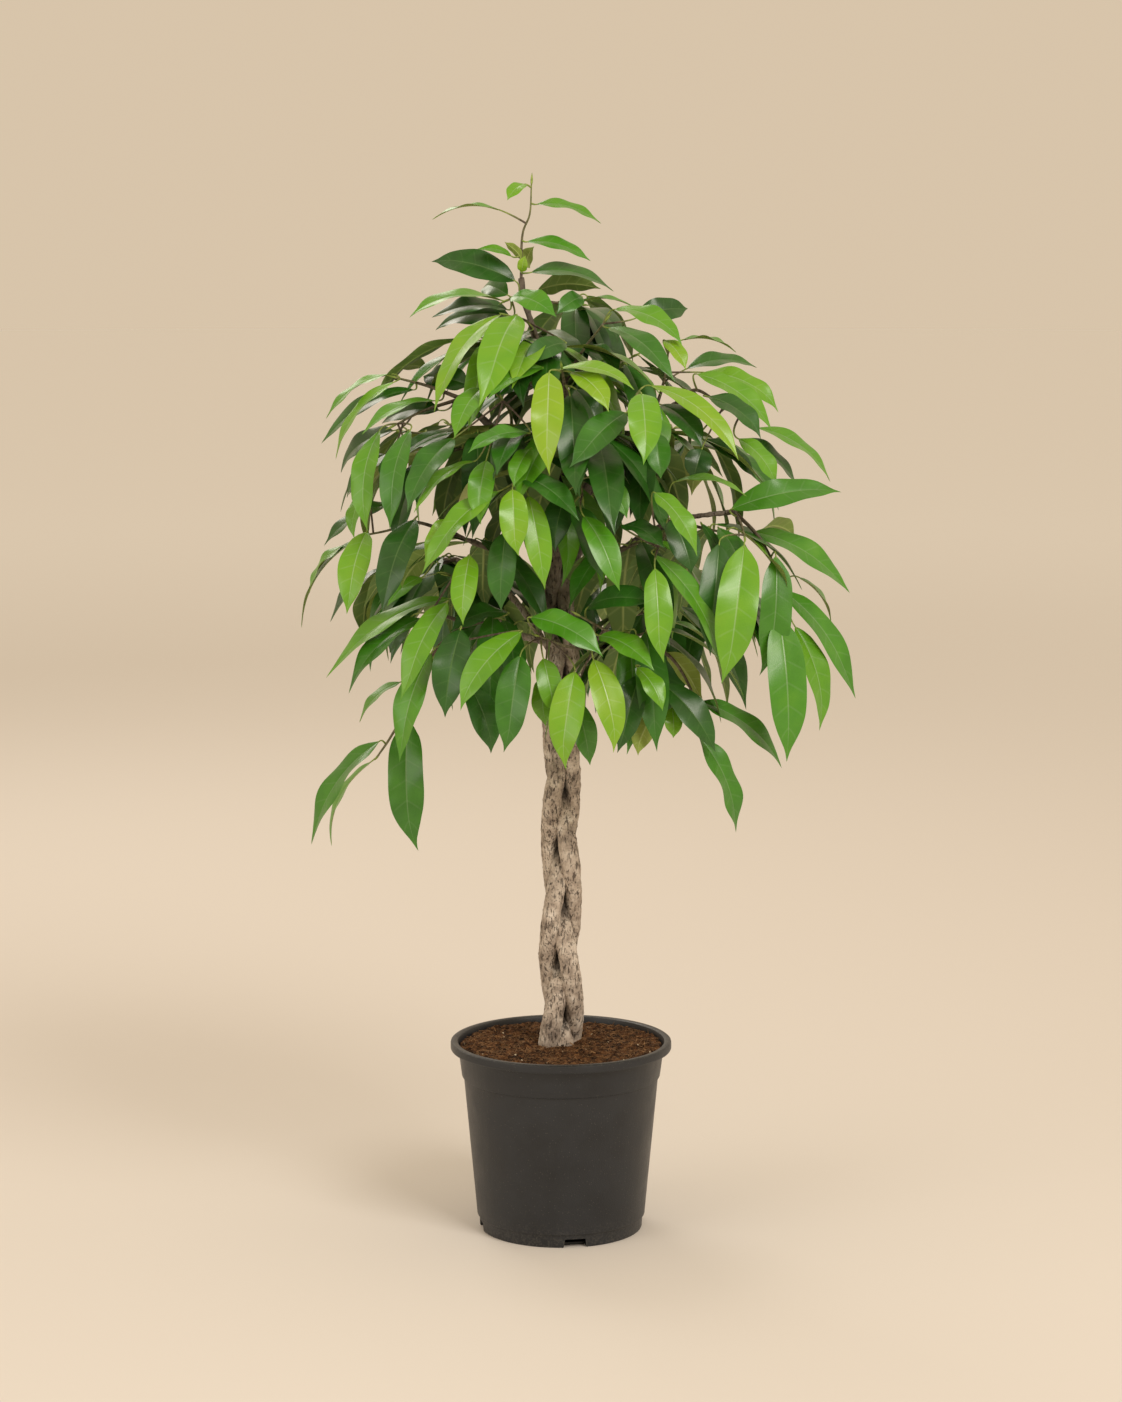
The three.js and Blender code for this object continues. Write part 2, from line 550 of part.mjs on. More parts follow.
      [252, -32, 716, 286, -42, 668, 28, 78, 0.5], [202, -58, 767, 303, -62, 701, 37, 42, 0.4],
      [214, -18, 766, 254, 30, 754, 30, 178, 0.4]]
  },
  right_upper_shoot: {
    twig: [[-5, 10, 900], [20, -15, 950], [46, -28, 985]], girth: 2.4,
    leaves: [
      [56, -30, 998, 128, -72, 964, 33, 38, 0.6], [80, 8, 988, 136, 40, 995, 30, 55, 0.12],
      [49, -70, 980, 115, -132, 926, 33, 32, 0.3], [20, -30, 960, 62, -72, 932, 30, 40, 0.12]]
  },
  right_high_shoot: {
    twig: [[95, -32, 880], [108, -45, 925], [112, -52, 955]], girth: 2.2,
    leaves: [
      [128, -22, 966, 184, -32, 953, 26, 78, 0.5], [108, -60, 967, 130, -82, 937, 21, 20, 0.85],
      [134, 18, 934, 209, 30, 935, 32, 78, 0.25], [150, -22, 932, 231, -32, 893, 31, 52, 0.65]]
  },
  right_spreading_shoot: {
    twig: [[120, -40, 900], [140, -55, 915], [160, -62, 905], [188, -55, 885]], girth: 2.2,
    leaves: [
      [141, -60, 932, 220, -82, 874, 33, 43, 0.6], [152, -90, 910, 208, -112, 869, 33, 38, 0.12],
      [207, -30, 874, 285, -22, 818, 29, 58, 0.55], [184, -80, 866, 224, -92, 817, 29, 38, 0.6],
      [188, -30, 862, 250, -20, 811, 28, 48, 0.12], [148, -60, 864, 203, -62, 821, 24, 48, 0.15],
      [146, -92, 856, 136, -102, 824, 30, 8, 0.1]]
  },
};

// The crown's reach from its axis at each height, which the shoots grown by rule stay inside.
const CROWN_REACH = [
  [420, 120], [520, 215], [620, 255], [760, 265], [860, 240], [940, 180], [1020, 100], [1140, 10],
];

function crownReach(z) {
  for (let k = 1; k < CROWN_REACH.length; k++) {
    const [low, inner] = CROWN_REACH[k - 1];
    const [high, outer] = CROWN_REACH[k];
    if (z <= high) return inner + ((outer - inner) * Math.max(z - low, 0)) / (high - low);
  }
  return 0;
}

// Shoots that fill the crown behind and inside, as [start x, y, z, heading, length, rise, leaves]:
// heading is the compass angle of the twig and rise its climb.
const RULE_SHOOTS = {
  rear_top_shoot: [10, 110, 985, 170, 45, 20, 5],
  rear_top_left_shoot: [5, 60, 950, -140, 80, 20, 5],
  rear_top_right_shoot: [-5, 10, 900, 120, 95, 45, 5],
  rear_high_left_shoot: [-90, 120, 850, -150, 70, 15, 6],
  rear_high_left_side_shoot: [-90, 120, 850, -95, 80, 10, 5],
  rear_high_middle_shoot: [-45, 60, 800, 175, 110, 60, 6],
  rear_high_right_shoot: [90, 120, 840, 150, 70, 20, 6],
  rear_high_right_side_shoot: [90, 120, 840, 95, 80, 10, 5],
  rear_low_left_shoot: [-115, 125, 720, -140, 70, -5, 5],
  rear_low_left_side_shoot: [-115, 125, 720, -85, 75, -15, 5],
  rear_low_middle_shoot: [0, 130, 700, 180, 80, 0, 6],
  rear_low_right_shoot: [115, 120, 700, 140, 70, 0, 5],
  rear_low_right_side_shoot: [115, 120, 700, 85, 75, -10, 5],
  inner_left_shoot: [-60, -45, 740, -75, 50, 20, 4],
  inner_high_left_shoot: [-65, -20, 865, -25, 55, 5, 4],
  inner_right_shoot: [60, -50, 745, 30, 50, 15, 4],
  inner_high_right_shoot: [70, -25, 860, 40, 45, 10, 4],
  inner_middle_shoot: [5, 5, 830, -20, 60, -15, 4],
  inner_top_left_shoot: [-25, 5, 960, -60, 60, 5, 5],
  inner_top_right_shoot: [-5, 10, 900, 60, 80, 40, 5],
  inner_top_front_shoot: [-25, 5, 960, 25, 50, -5, 4],
  inner_low_left_shoot: [-50, -50, 658, -30, 45, 25, 4],
  inner_low_right_shoot: [55, -90, 650, 60, 50, 20, 4],
  inner_rear_left_shoot: [-60, 80, 690, -60, 70, 20, 5],
  inner_rear_right_shoot: [60, 70, 660, 70, 70, 15, 5],
  inner_side_right_shoot: [120, -78, 780, 60, 60, -10, 4],
  inner_side_left_shoot: [-65, -20, 865, -80, 70, -20, 5],
  inner_front_right_shoot: [5, -75, 888, 40, 50, -25, 5],
  inner_front_left_shoot: [5, -75, 888, -60, 55, -20, 5],
};

const RULE_SEED = 4201;
const RULE_GIRTH = 2.2;

// A shoot grown by rule: leaves stand alternately left and right of its twig, the first ones old and
// wide, and each droops more the lower its shoot is.
function grownShoot([x, y, z, heading, length, rise, count], draw) {
  const way = radians(heading);
  const twig = [0, 0.5, 1].map((t) => [
    x + length * t * Math.sin(way),
    y - length * t * Math.cos(way),
    z + rise * t * (1.3 - 0.3 * t),
  ]);
  const leaves = [];
  for (let k = 0; k < count; k++) {
    const t = 0.25 + (0.75 * (k + 0.5)) / count;
    const side = k % 2 ? 1 : -1;
    const turn = side * (20 + 60 * draw()) * (1.1 - 0.6 * t);
    const angle = way + radians(turn);
    const droop = radians(18 + 50 * draw() + (900 - z) * 0.05);
    const size = 105 + 40 * draw();
    const stalk = 9 + 9 * draw();
    const bx = x + length * t * Math.sin(way) + stalk * Math.sin(angle);
    const by = y - length * t * Math.cos(way) - stalk * Math.cos(angle);
    const bz = z + rise * t * (1.3 - 0.3 * t) + 4;
    const tz = bz - size * Math.sin(droop);
    let tx = bx + size * Math.cos(droop) * Math.sin(angle);
    let ty = by - size * Math.cos(droop) * Math.cos(angle);
    const shrink = Math.min(1, crownReach(tz) / Math.hypot(tx, ty));
    tx *= shrink;
    ty *= shrink;
    const width = 0.25 * size + 6 * draw();
    const face = THREE.MathUtils.radToDeg(angle) + 30 * (draw() - 0.5);
    const age = draw() < 0.7 ? 0.05 + 0.25 * draw() : 0.4 + 0.35 * draw();
    leaves.push([bx, by, bz, tx, ty, tz, width, face, age]);
  }
  return { twig, girth: RULE_GIRTH, leaves };
}

const draw = numberStream(RULE_SEED);
const allShoots = Object.entries(SHOOTS);
for (const [name, rule] of Object.entries(RULE_SHOOTS)) allShoots.push([name, grownShoot(rule, draw)]);

function twigBody(shoot, grow) {
  const points = shoot.twig.map((p) => vec(...p));
  const radius = (u) => shoot.girth * (1 - (1 - TWIG_TIP_SHARE) * u) + grow;
  return taperedBar(points, radius, TWIG_SIDES, points.length - 1);
}

// Stalks start on the twig's centre line, at the one of these places between its sections that is
// nearest to the leaf's base.
const ANCHOR_PLACES = [0.1, 0.25, 0.4, 0.55, 0.7, 0.85];

function stalkAnchor(shoot, leaf) {
  const base = vec(leaf[0], leaf[1], leaf[2]);
  const curve = new THREE.CatmullRomCurve3(shoot.twig.map((p) => vec(...p)), false, "centripetal");
  const centres = curve.getSpacedPoints(shoot.twig.length - 1);
  const places = centres
    .slice(1)
    .flatMap((end, k) => ANCHOR_PLACES.map((t) => centres[k].clone().lerp(end, t)));
  return places.reduce((best, p) => (p.distanceTo(base) < best.distanceTo(base) ? p : best));
}

// ---- assembly ----

const BARK = { color: 0x7d6c5c, roughness: 0.85, metalness: 0 };
const POT_PLASTIC = { color: 0x33353a, roughness: 0.5, metalness: 0 };
const SOIL_BROWN = { color: 0x4a3626, roughness: 0.95, metalness: 0 };
const OLD_LEAF = new THREE.Color(0x35591f);
const NEW_LEAF = new THREE.Color(0x9dbb3a);

const plant = new THREE.Group();

function addPiece(name, solid, look) {
  const mesh = new THREE.Mesh(geometryOf(solid), new THREE.MeshStandardMaterial(look));
  mesh.name = name;
  plant.add(mesh);
}

const stems = [];
const stemCutters = [];
for (const [name, stem] of Object.entries(STEMS)) {
  stems.push([name, largestBody(cutAway(stemBody(stem, 0), stemCutters))]);
  stemCutters.push(stemBody(stem, GAP));
}

addPiece("nursery_pot", potBody(), POT_PLASTIC);
addPiece("potting_soil", soilBody(stemCutters), SOIL_BROWN);
for (const [name, solid] of stems) addPiece(name, solid, BARK);

// The wood of a shoot, its twig and leaf stalks, comes before any blade: blades are cut back from it,
// and a blade that lies across a later leaf's stalk leaves the stalk its way through.
const anchors = allShoots.map(([, shoot]) => shoot.leaves.map((leaf) => stalkAnchor(shoot, leaf)));
const twigCutters = allShoots.map(([, shoot]) => twigBody(shoot, GAP));
const stalkCutters = allShoots.map(([, shoot], index) =>
  shoot.leaves.map((leaf, k) => stalkBody(leaf, anchors[index][k], GAP)),
);
const bladeCutters = [];

allShoots.forEach(([name, shoot], index) => {
  const others = (_, k) => k !== index;
  const wood = [...stemCutters, ...twigCutters.filter(others), ...stalkCutters.filter(others).flat()];
  const twig = cutAway(twigBody(shoot, 0), [...stemCutters, ...twigCutters.slice(0, index)]);
  const leaves = shoot.leaves.map((leaf, k) => {
    const way = stalkBody(leaf, anchors[index][k], STALK_SPARE);
    const blades = bladeCutters.map((blade) => (boxesMeet(blade, way) ? blade.subtract(way) : blade));
    return cutAway(leafBody(leaf, 0, anchors[index][k]), [...wood, ...blades]);
  });
  bladeCutters.push(...shoot.leaves.map((leaf) => leafBody(leaf, GAP, null)));
  const age = shoot.leaves.reduce((sum, leaf) => sum + leaf[8], 0) / shoot.leaves.length;
  const color = OLD_LEAF.clone().lerp(NEW_LEAF, age);
  const shootSolid = largestBody(union([twig, ...leaves]));
  addPiece(name, shootSolid, { color, roughness: 0.4, metalness: 0 });
});

export default plant;
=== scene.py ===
# Potted ficus: a fig tree with three plaited stems and a crown of long leaves, in a plastic nursery pot.
# Metres, +Z up, the origin at the centre of the pot's base.
import math
import bpy
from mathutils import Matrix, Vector


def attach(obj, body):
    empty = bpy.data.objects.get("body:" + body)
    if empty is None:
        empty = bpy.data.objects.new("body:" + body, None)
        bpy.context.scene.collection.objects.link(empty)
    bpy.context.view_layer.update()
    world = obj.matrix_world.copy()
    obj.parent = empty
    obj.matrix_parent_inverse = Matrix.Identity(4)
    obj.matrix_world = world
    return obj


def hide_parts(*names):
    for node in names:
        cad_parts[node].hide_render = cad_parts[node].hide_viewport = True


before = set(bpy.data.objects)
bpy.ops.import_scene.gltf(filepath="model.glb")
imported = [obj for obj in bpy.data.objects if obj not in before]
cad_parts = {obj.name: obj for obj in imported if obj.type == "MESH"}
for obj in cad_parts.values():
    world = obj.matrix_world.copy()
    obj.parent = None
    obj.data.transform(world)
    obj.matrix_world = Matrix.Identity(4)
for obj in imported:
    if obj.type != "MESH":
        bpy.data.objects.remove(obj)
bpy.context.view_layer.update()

# ---- The studio: camera, floor and light ----
# The plant stands on a plain pale floor under a large soft light from the upper right, with a pale sky
# all round as the fill. The camera is a long lens a little above the middle of the plant.
CAMERA_PLACE = (0.0, -3.70, 1.0985)
CAMERA_PITCH_DEG = 7.986
CAMERA_LENS_MM = 89.4
FLOOR_RADIUS = 30.0
FLOOR_SIDES = 64
SKY_STRENGTH = 0.93

camera = bpy.data.objects.new("camera", bpy.data.cameras.new("camera"))
bpy.context.collection.objects.link(camera)
camera.data.lens = CAMERA_LENS_MM
camera.data.sensor_width = 36.0
camera.location = CAMERA_PLACE
camera.rotation_euler = (math.radians(90.0 - CAMERA_PITCH_DEG), 0.0, 0.0)
bpy.context.scene.camera = camera
bpy.context.scene.view_settings.view_transform = "Standard"


def colour(hex_code):
    """An sRGB hex colour as the linear RGBA that a shader wants."""
    parts = [int(hex_code[i:i + 2], 16) / 255 for i in (1, 3, 5)]
    return (*[c / 12.92 if c <= 0.04045 else ((c + 0.055) / 1.055) ** 2.4 for c in parts], 1.0)


def add(tree, kind, inputs=(), stops=(), points=(), **settings):
    """Adds a node with its settings, and sets or links its inputs. stops are a ramp's, points a curve's."""
    node = tree.nodes.new(kind)
    for key, value in settings.items():
        setattr(node, key, value)
    for key, value in dict(inputs).items():
        if isinstance(value, bpy.types.NodeSocket):
            tree.links.new(value, node.inputs[key])
        else:
            node.inputs[key].default_value = value
    for place, (at, tint) in enumerate(stops):
        stop = node.color_ramp.elements[0] if place == 0 else node.color_ramp.elements.new(at)
        stop.position, stop.color = at, colour(tint)
    if stops:
        node.color_ramp.elements.remove(node.color_ramp.elements[-1])
    for place, at in enumerate(points):
        curve = node.mapping.curves[0]
        if place in (0, len(points) - 1):
            curve.points[0 if place == 0 else -1].location = at
        else:
            curve.points.new(*at)
    if points:
        node.mapping.update()
    return node


def material(name, **constants):
    """A named material with one Principled shader, whose constants are set on its own sockets."""
    made = bpy.data.materials.new(name)
    made.use_nodes = True
    shader = made.node_tree.nodes["Principled BSDF"]
    for key, value in constants.items():
        shader.inputs[key.replace("_", " ")].default_value = value
    return made, made.node_tree, shader


# Painted plaster floor: matt and pale, warm beige round the plant and near white far off, where it meets
# the sky.
floor_paint, tree, shader = material("floor_paint", Roughness=0.95, Specular_IOR_Level=0.1)
place = add(tree, "ShaderNodeTexCoord").outputs["Object"]
away = add(tree, "ShaderNodeVectorMath", {0: place}, operation="LENGTH").outputs["Value"]
far = add(tree, "ShaderNodeMapRange", {0: away, 1: 1.0, 2: 9.0}, interpolation_type="SMOOTHSTEP").outputs[0]
paint = add(tree, "ShaderNodeValToRGB", {0: far}, stops=[(0.0, "#e4dfd9"), (1.0, "#ffffff")]).outputs[0]
tree.links.new(paint, shader.inputs["Base Color"])
corners = [(FLOOR_RADIUS * math.cos(2 * math.pi * k / FLOOR_SIDES),
            FLOOR_RADIUS * math.sin(2 * math.pi * k / FLOOR_SIDES), 0.0) for k in range(FLOOR_SIDES)]
floor_mesh = bpy.data.meshes.new("floor")
floor_mesh.from_pydata(corners, [], [list(range(FLOOR_SIDES))])
floor_mesh.materials.append(floor_paint)
floor = bpy.data.objects.new("floor", floor_mesh)
bpy.context.collection.objects.link(floor)

sky = bpy.data.worlds.new("sky")
sky.use_nodes = True
sky.node_tree.nodes["Background"].inputs["Color"].default_value = colour("#dfcbb0")
sky.node_tree.nodes["Background"].inputs["Strength"].default_value = SKY_STRENGTH
bpy.context.scene.world = sky


def soft_light(name, place, aim, size, power, tint):
    """A square area light at a place, turned towards a point."""
    lamp = bpy.data.objects.new(name, bpy.data.lights.new(name, "AREA"))
    bpy.context.collection.objects.link(lamp)
    lamp.data.size = size
    lamp.data.energy = power
    lamp.data.color = colour(tint)[:3]
    lamp.location = place
    lamp.rotation_euler = (Vector(aim) - Vector(place)).to_track_quat("-Z", "Y").to_euler()


soft_light("key", (2.0, -2.9, 3.3), (0, 0, 0.6), 1.8, 92.0, "#fff8ee")
soft_light("fill", (-2.9, -2.2, 1.9), (0, 0, 0.6), 2.2, 24.0, "#fffaf2")
soft_light("rim", (-1.2, 2.6, 2.8), (0, 0, 0.8), 1.6, 24.0, "#fff8ee")

# ---- The nursery pot ----
# One injection moulding in recycled black polypropylene: a thin tapered wall under a collar, a rolled
# lip to carry it by, a stepped foot, and four drain slots cut through the foot of the wall.
POT_SIDES = 144
POT_OUTLINE_MM = [
    (0, 0), (86.9, 0), (88.1, 0.5), (88.6, 1.7), (89.2, 13.9), (89.6, 14.5), (91.0, 14.8), (91.5, 15.5),
    (96.0, 64), (100.8, 115), (105.5, 165.5), (105.7, 168.4), (106.5, 168.9), (107.5, 169.2), (107.9, 170.2),
    (109.7, 184), (111.5, 197.0), (112.0, 198.3), (113.2, 198.7), (118.2, 198.5), (119.4, 198.9),
    (120, 200.1),
    (120, 205.4), (119.6, 206.9), (118.4, 207.8), (116.9, 208), (113.8, 207.7), (112.4, 206.9),
    (111.8, 205.6),
    (111.4, 203.5), (109.9, 197.5), (105.4, 169.9), (103.6, 168.2), (89.3, 15), (87.4, 13.6), (86.4, 4.2),
    (84.6, 2.7), (0, 2.5)]
SLOT_TOP_MM, SLOT_FOOT_MM, SLOT_HEIGHT_MM = 22.0, 25.6, 9.6
SLOT_REACH_MM, SLOT_FIRST_DEG, SLOT_COUNT = (76, 94), 10.0, 4
SHARP_DEG = 26
MM = 0.001


def turned(outline_mm, sides):
    """A closed mesh turned about Z from an outline that starts and ends on the axis."""
    mesh = bpy.data.meshes.new("turned")
    inner = outline_mm[1:-1]
    verts = [(r * MM * math.cos(2 * math.pi * k / sides), r * MM * math.sin(2 * math.pi * k / sides), z * MM)
             for r, z in inner for k in range(sides)]
    verts += [(0, 0, outline_mm[0][1] * MM), (0, 0, outline_mm[-1][1] * MM)]
    faces = []
    for k in range(sides):
        n = (k + 1) % sides
        faces += [(i * sides + k, i * sides + n, (i + 1) * sides + n, (i + 1) * sides + k)
                  for i in range(len(inner) - 1)]
        last = (len(inner) - 1) * sides
        faces += [(len(verts) - 2, n, k), (last + k, last + n, len(verts) - 1)]
    mesh.from_pydata(verts, [], faces)
    return mesh


def piece(name, mesh):
    """A new object with that mesh, in the frame."""
    made = bpy.data.objects.new(name, mesh)
    bpy.context.collection.objects.link(made)
    return made


def plain_mesh(holder):
    """Turns what the object's modifiers make into its own mesh, and removes them."""
    view = bpy.context.evaluated_depsgraph_get()
    mesh = bpy.data.meshes.new_from_object(holder.evaluated_get(view), preserve_all_data_layers=True,
                                           depsgraph=view)
    holder.modifiers.clear()
    holder.data = mesh
    return holder


pot = piece("moulded_pot", turned(POT_OUTLINE_MM, POT_SIDES))
slots = []
for k in range(SLOT_COUNT):
    turn = math.radians(SLOT_FIRST_DEG + 360 / SLOT_COUNT * k)
    out, side = Vector((math.sin(turn), -math.cos(turn), 0)), Vector((math.cos(turn), math.sin(turn), 0))
    foot, top = SLOT_FOOT_MM / 2 * MM, SLOT_TOP_MM / 2 * MM
    section = [(-foot, -0.001), (foot, -0.001), (top, SLOT_HEIGHT_MM * MM), (-top, SLOT_HEIGHT_MM * MM)]
    verts = [out * (reach * MM) + side * x + Vector((0, 0, z)) for reach in SLOT_REACH_MM for x,
             z in section]
    cutter = bpy.data.meshes.new("slot")
    sides = [(0, 1, 2, 3), (7, 6, 5, 4), (0, 4, 5, 1), (1, 5, 6, 2), (2, 6, 7, 3), (3, 7, 4, 0)]
    cutter.from_pydata(verts, [], sides)
    middle = sum(verts, Vector()) / len(verts)
    if sum(face.normal.dot(face.center - middle) for face in cutter.polygons) < 0:
        cutter.flip_normals()
    slots.append(piece("slot_%d" % k, cutter))
    cut = pot.modifiers.new("slot", "BOOLEAN")
    cut.object, cut.operation, cut.solver = slots[-1], "DIFFERENCE", "EXACT"
plain_mesh(pot)
for cutter in slots:
    bpy.data.objects.remove(cutter)
pot.data.shade_smooth()
pot.data.set_sharp_from_angle(angle=math.radians(SHARP_DEG))

# Recycled polypropylene: charcoal black with a satin skin, faint flow marks up the wall from the mould,
# a fine moulded grain, pale dust rubbed on at the foot, and a painted highlight along the top of the lip,
# pale and broken into patches like dust.
polypropylene, tree, shader = material("polypropylene", IOR=1.49)
place = add(tree, "ShaderNodeTexCoord").outputs["Object"]
height = add(tree, "ShaderNodeSeparateXYZ", {0: place}).outputs["Z"]
flow = add(tree, "ShaderNodeMapping", {"Vector": place, "Scale": (1, 1, 0.18)}).outputs[0]
streaks = add(tree, "ShaderNodeTexNoise", {"Vector": flow, "Scale": 60, "Detail": 5}).outputs[0]
mottle = add(tree, "ShaderNodeTexNoise",
             {"Vector": place, "Scale": 26, "Detail": 6, "Roughness": 0.6}).outputs[0]
specks = add(tree, "ShaderNodeTexNoise", {"Vector": place, "Scale": 420, "Detail": 3}).outputs[0]
foot_dust = add(tree, "ShaderNodeMapRange", {0: height, 1: 0.0, 2: 0.03, 3: 0.5, 4: 0.0}).outputs[0]
# Painted highlight: a pale band round the top of the lip, broken into patches by the specks below.
lip_dust_and_highlight = add(tree, "ShaderNodeMapRange", {0: height, 1: 0.2055, 2: 0.2079, 3: 0.0, 4: 0.4}).outputs[0]
dust_and_lip_highlight = add(tree, "ShaderNodeMath", {0: foot_dust, 1: lip_dust_and_highlight}, operation="ADD").outputs[0]
patchy = add(tree, "ShaderNodeMapRange", {0: specks, 1: 0.45, 2: 0.7, 3: 0.0, 4: 1.0}).outputs[0]
dust_and_lip_highlight = add(tree, "ShaderNodeMath", {0: dust_and_lip_highlight, 1: patchy}, operation="MULTIPLY").outputs[0]
black = add(tree, "ShaderNodeValToRGB", {0: mottle}, stops=[(0.36, "#15171b"), (0.64, "#272a2f")]).outputs[0]
streaked = add(tree, "ShaderNodeMix", {0: streaks, 6: black, 7: colour("#212429")},
               data_type="RGBA").outputs[2]
motes = add(tree, "ShaderNodeTexVoronoi", {"Vector": place, "Scale": 260}).outputs["Distance"]
mote = add(tree, "ShaderNodeMapRange", {0: motes, 1: 0.06, 2: 0.16, 3: 0.5, 4: 0.0}).outputs[0]
dust_and_lip_highlight = add(tree, "ShaderNodeMath", {0: dust_and_lip_highlight, 1: mote}, operation="ADD").outputs[0]
# Mixes pale grey in: dust at the foot and in motes, and the painted highlight on the lip.
dusted_and_highlit = add(tree, "ShaderNodeMix", {0: dust_and_lip_highlight, 6: streaked, 7: colour("#5a5853")}, data_type="RGBA").outputs[2]
tree.links.new(dusted_and_highlit, shader.inputs["Base Color"])
satin = add(tree, "ShaderNodeMapRange", {0: mottle, 1: 0.3, 2: 0.7, 3: 0.34, 4: 0.52}).outputs[0]
tree.links.new(satin, shader.inputs["Roughness"])
grain = add(tree, "ShaderNodeTexNoise", {"Vector": place, "Scale": 900, "Detail": 2}).outputs[0]
waves = add(tree, "ShaderNodeMath", {0: streaks, 1: 2.0}, operation="MULTIPLY").outputs[0]
relief = add(tree, "ShaderNodeMath", {0: grain, 1: waves}, operation="ADD").outputs[0]
bump = add(tree, "ShaderNodeBump", {"Height": relief, "Strength": 0.35, "Distance": 0.0005}).outputs[0]
tree.links.new(bump, shader.inputs["Normal"])
pot.data.materials.clear()
pot.data.materials.append(polypropylene)
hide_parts("nursery_pot")
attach(pot, "root")

# ---- The potting soil ----
# Moist brown peat mix, loose and fibrous, filled to just under the lip and a little higher at the
# stems. Crumbs, root fibres, chips of wood and white perlite lie on it.
SOIL_OUTLINE_MM = (
    [(0, 3), (68, 3), (86, 14), (102.2, 168), (104.4, 170), (107.9, 190), (109.6, 198.5), (110.0, 200.5),
     (108.8, 202.0)]
    + [(106.6 - 1.64 * k, 202.0 + 3.4 * (k / 64) ** 1.2) for k in range(65)] + [(0, 205.4)])
SOIL_SIDES = 220
CLOD_HEIGHT, CRUMB_HEIGHT = 0.013, 0.007
RAISED_FROM, RAISED_FULLY = 0.2008, 0.2019
BITS_ABOVE, BITS_WITHIN = 0.194, 0.1055
BITS_PER_SQUARE_METRE = {"Crumbs": 62000, "Fibres": 30000, "Chips": 4200, "Perlite": 520}


def empty_tree(name, sizes):
    """A geometry tree with a geometry input and output and the named number inputs, with its nodes."""
    tree = bpy.data.node_groups.new(name, "GeometryNodeTree")
    tree.interface.new_socket("Geometry", in_out="INPUT", socket_type="NodeSocketGeometry")
    tree.interface.new_socket("Geometry", in_out="OUTPUT", socket_type="NodeSocketGeometry")
    for key in sizes:
        tree.interface.new_socket(key, in_out="INPUT", socket_type="NodeSocketFloat")
    return tree, tree.nodes.new("NodeGroupInput").outputs, tree.nodes.new("NodeGroupOutput").inputs


def grow(name, source, tree, sizes):
    """The plain mesh that a geometry tree makes from a source mesh, with its inputs set to sizes."""
    holder = piece(name, source)
    steps = holder.modifiers.new("grow", "NODES")
    steps.node_group = tree
    for item in tree.interface.items_tree:
        if item.in_out == "INPUT" and item.name in sizes:
            steps[item.identifier] = float(sizes[item.name])
    return plain_mesh(holder)


# Peat: dark brown when moist, with paler fibres through it and no shine at all.
peat, tree, shader = material("peat", Roughness=0.96, Specular_IOR_Level=0.2)
place = add(tree, "ShaderNodeTexCoord").outputs["Object"]
clods = add(tree, "ShaderNodeTexNoise",
            {"Vector": place, "Scale": 130, "Detail": 8, "Roughness": 0.7}).outputs[0]
strands = add(tree, "ShaderNodeTexNoise",
              {"Vector": place, "Scale": 320, "Detail": 4, "Distortion": 2.2}).outputs[0]
browns = add(tree, "ShaderNodeValToRGB", {0: clods},
             stops=[(0.36, "#150c07"), (0.47, "#3d2716"), (0.57, "#69462b"), (0.68, "#946d45")]).outputs[0]
fibre = add(tree, "ShaderNodeMapRange", {0: strands, 1: 0.56, 2: 0.68, 3: 0.0, 4: 0.6}).outputs[0]
fibrous = add(tree, "ShaderNodeMix", {0: fibre, 6: browns, 7: colour("#80664a")},
              data_type="RGBA").outputs[2]
tree.links.new(fibrous, shader.inputs["Base Color"])
rough = add(tree, "ShaderNodeMath", {0: clods, 1: strands}, operation="ADD").outputs[0]
bump = add(tree, "ShaderNodeBump", {"Height": rough, "Strength": 0.9, "Distance": 0.002}).outputs[0]
tree.links.new(bump, shader.inputs["Normal"])

# The bed: the turned filling of the pot, its top raised into clods and hollows.
bed_tree, given, result = empty_tree("soil_bed", ["Clod height", "Crumb height"])
where = add(bed_tree, "GeometryNodeInputPosition").outputs[0]
height = add(bed_tree, "ShaderNodeSeparateXYZ", {0: where}).outputs[2]
on_top = add(bed_tree, "ShaderNodeMapRange",
             {0: height, 1: RAISED_FROM, 2: RAISED_FULLY, 3: 0.0, 4: 1.0}).outputs[0]
lift = None
for key, scale in (("Clod height", 36), ("Crumb height", 170)):
    noise = add(bed_tree, "ShaderNodeTexNoise", {"Scale": scale, "Detail": 3}).outputs[0]
    centred = add(bed_tree, "ShaderNodeMath", {0: noise, 1: 0.5}, operation="SUBTRACT").outputs[0]
    scaled = add(bed_tree, "ShaderNodeMath", {0: centred, 1: given[key]}, operation="MULTIPLY").outputs[0]
    lift = scaled if lift is None else add(bed_tree, "ShaderNodeMath", {0: lift, 1: scaled}).outputs[0]
lift = add(bed_tree, "ShaderNodeMath", {0: lift, 1: on_top}, operation="MULTIPLY").outputs[0]
offset = add(bed_tree, "ShaderNodeCombineXYZ", {2: lift}).outputs[0]
moved = add(bed_tree, "GeometryNodeSetPosition",
            {"Geometry": given["Geometry"], "Offset": offset}).outputs[0]
smooth = add(bed_tree, "GeometryNodeSetShadeSmooth", {0: moved}).outputs[0]
bed_tree.links.new(add(bed_tree, "GeometryNodeSetMaterial", {0: smooth, "Material": peat}).outputs[0],
                   result[0])
soil = grow("peat_bed", turned(SOIL_OUTLINE_MM, SOIL_SIDES), bed_tree,
            {"Clod height": CLOD_HEIGHT, "Crumb height": CRUMB_HEIGHT})
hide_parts("potting_soil")
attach(soil, "root")

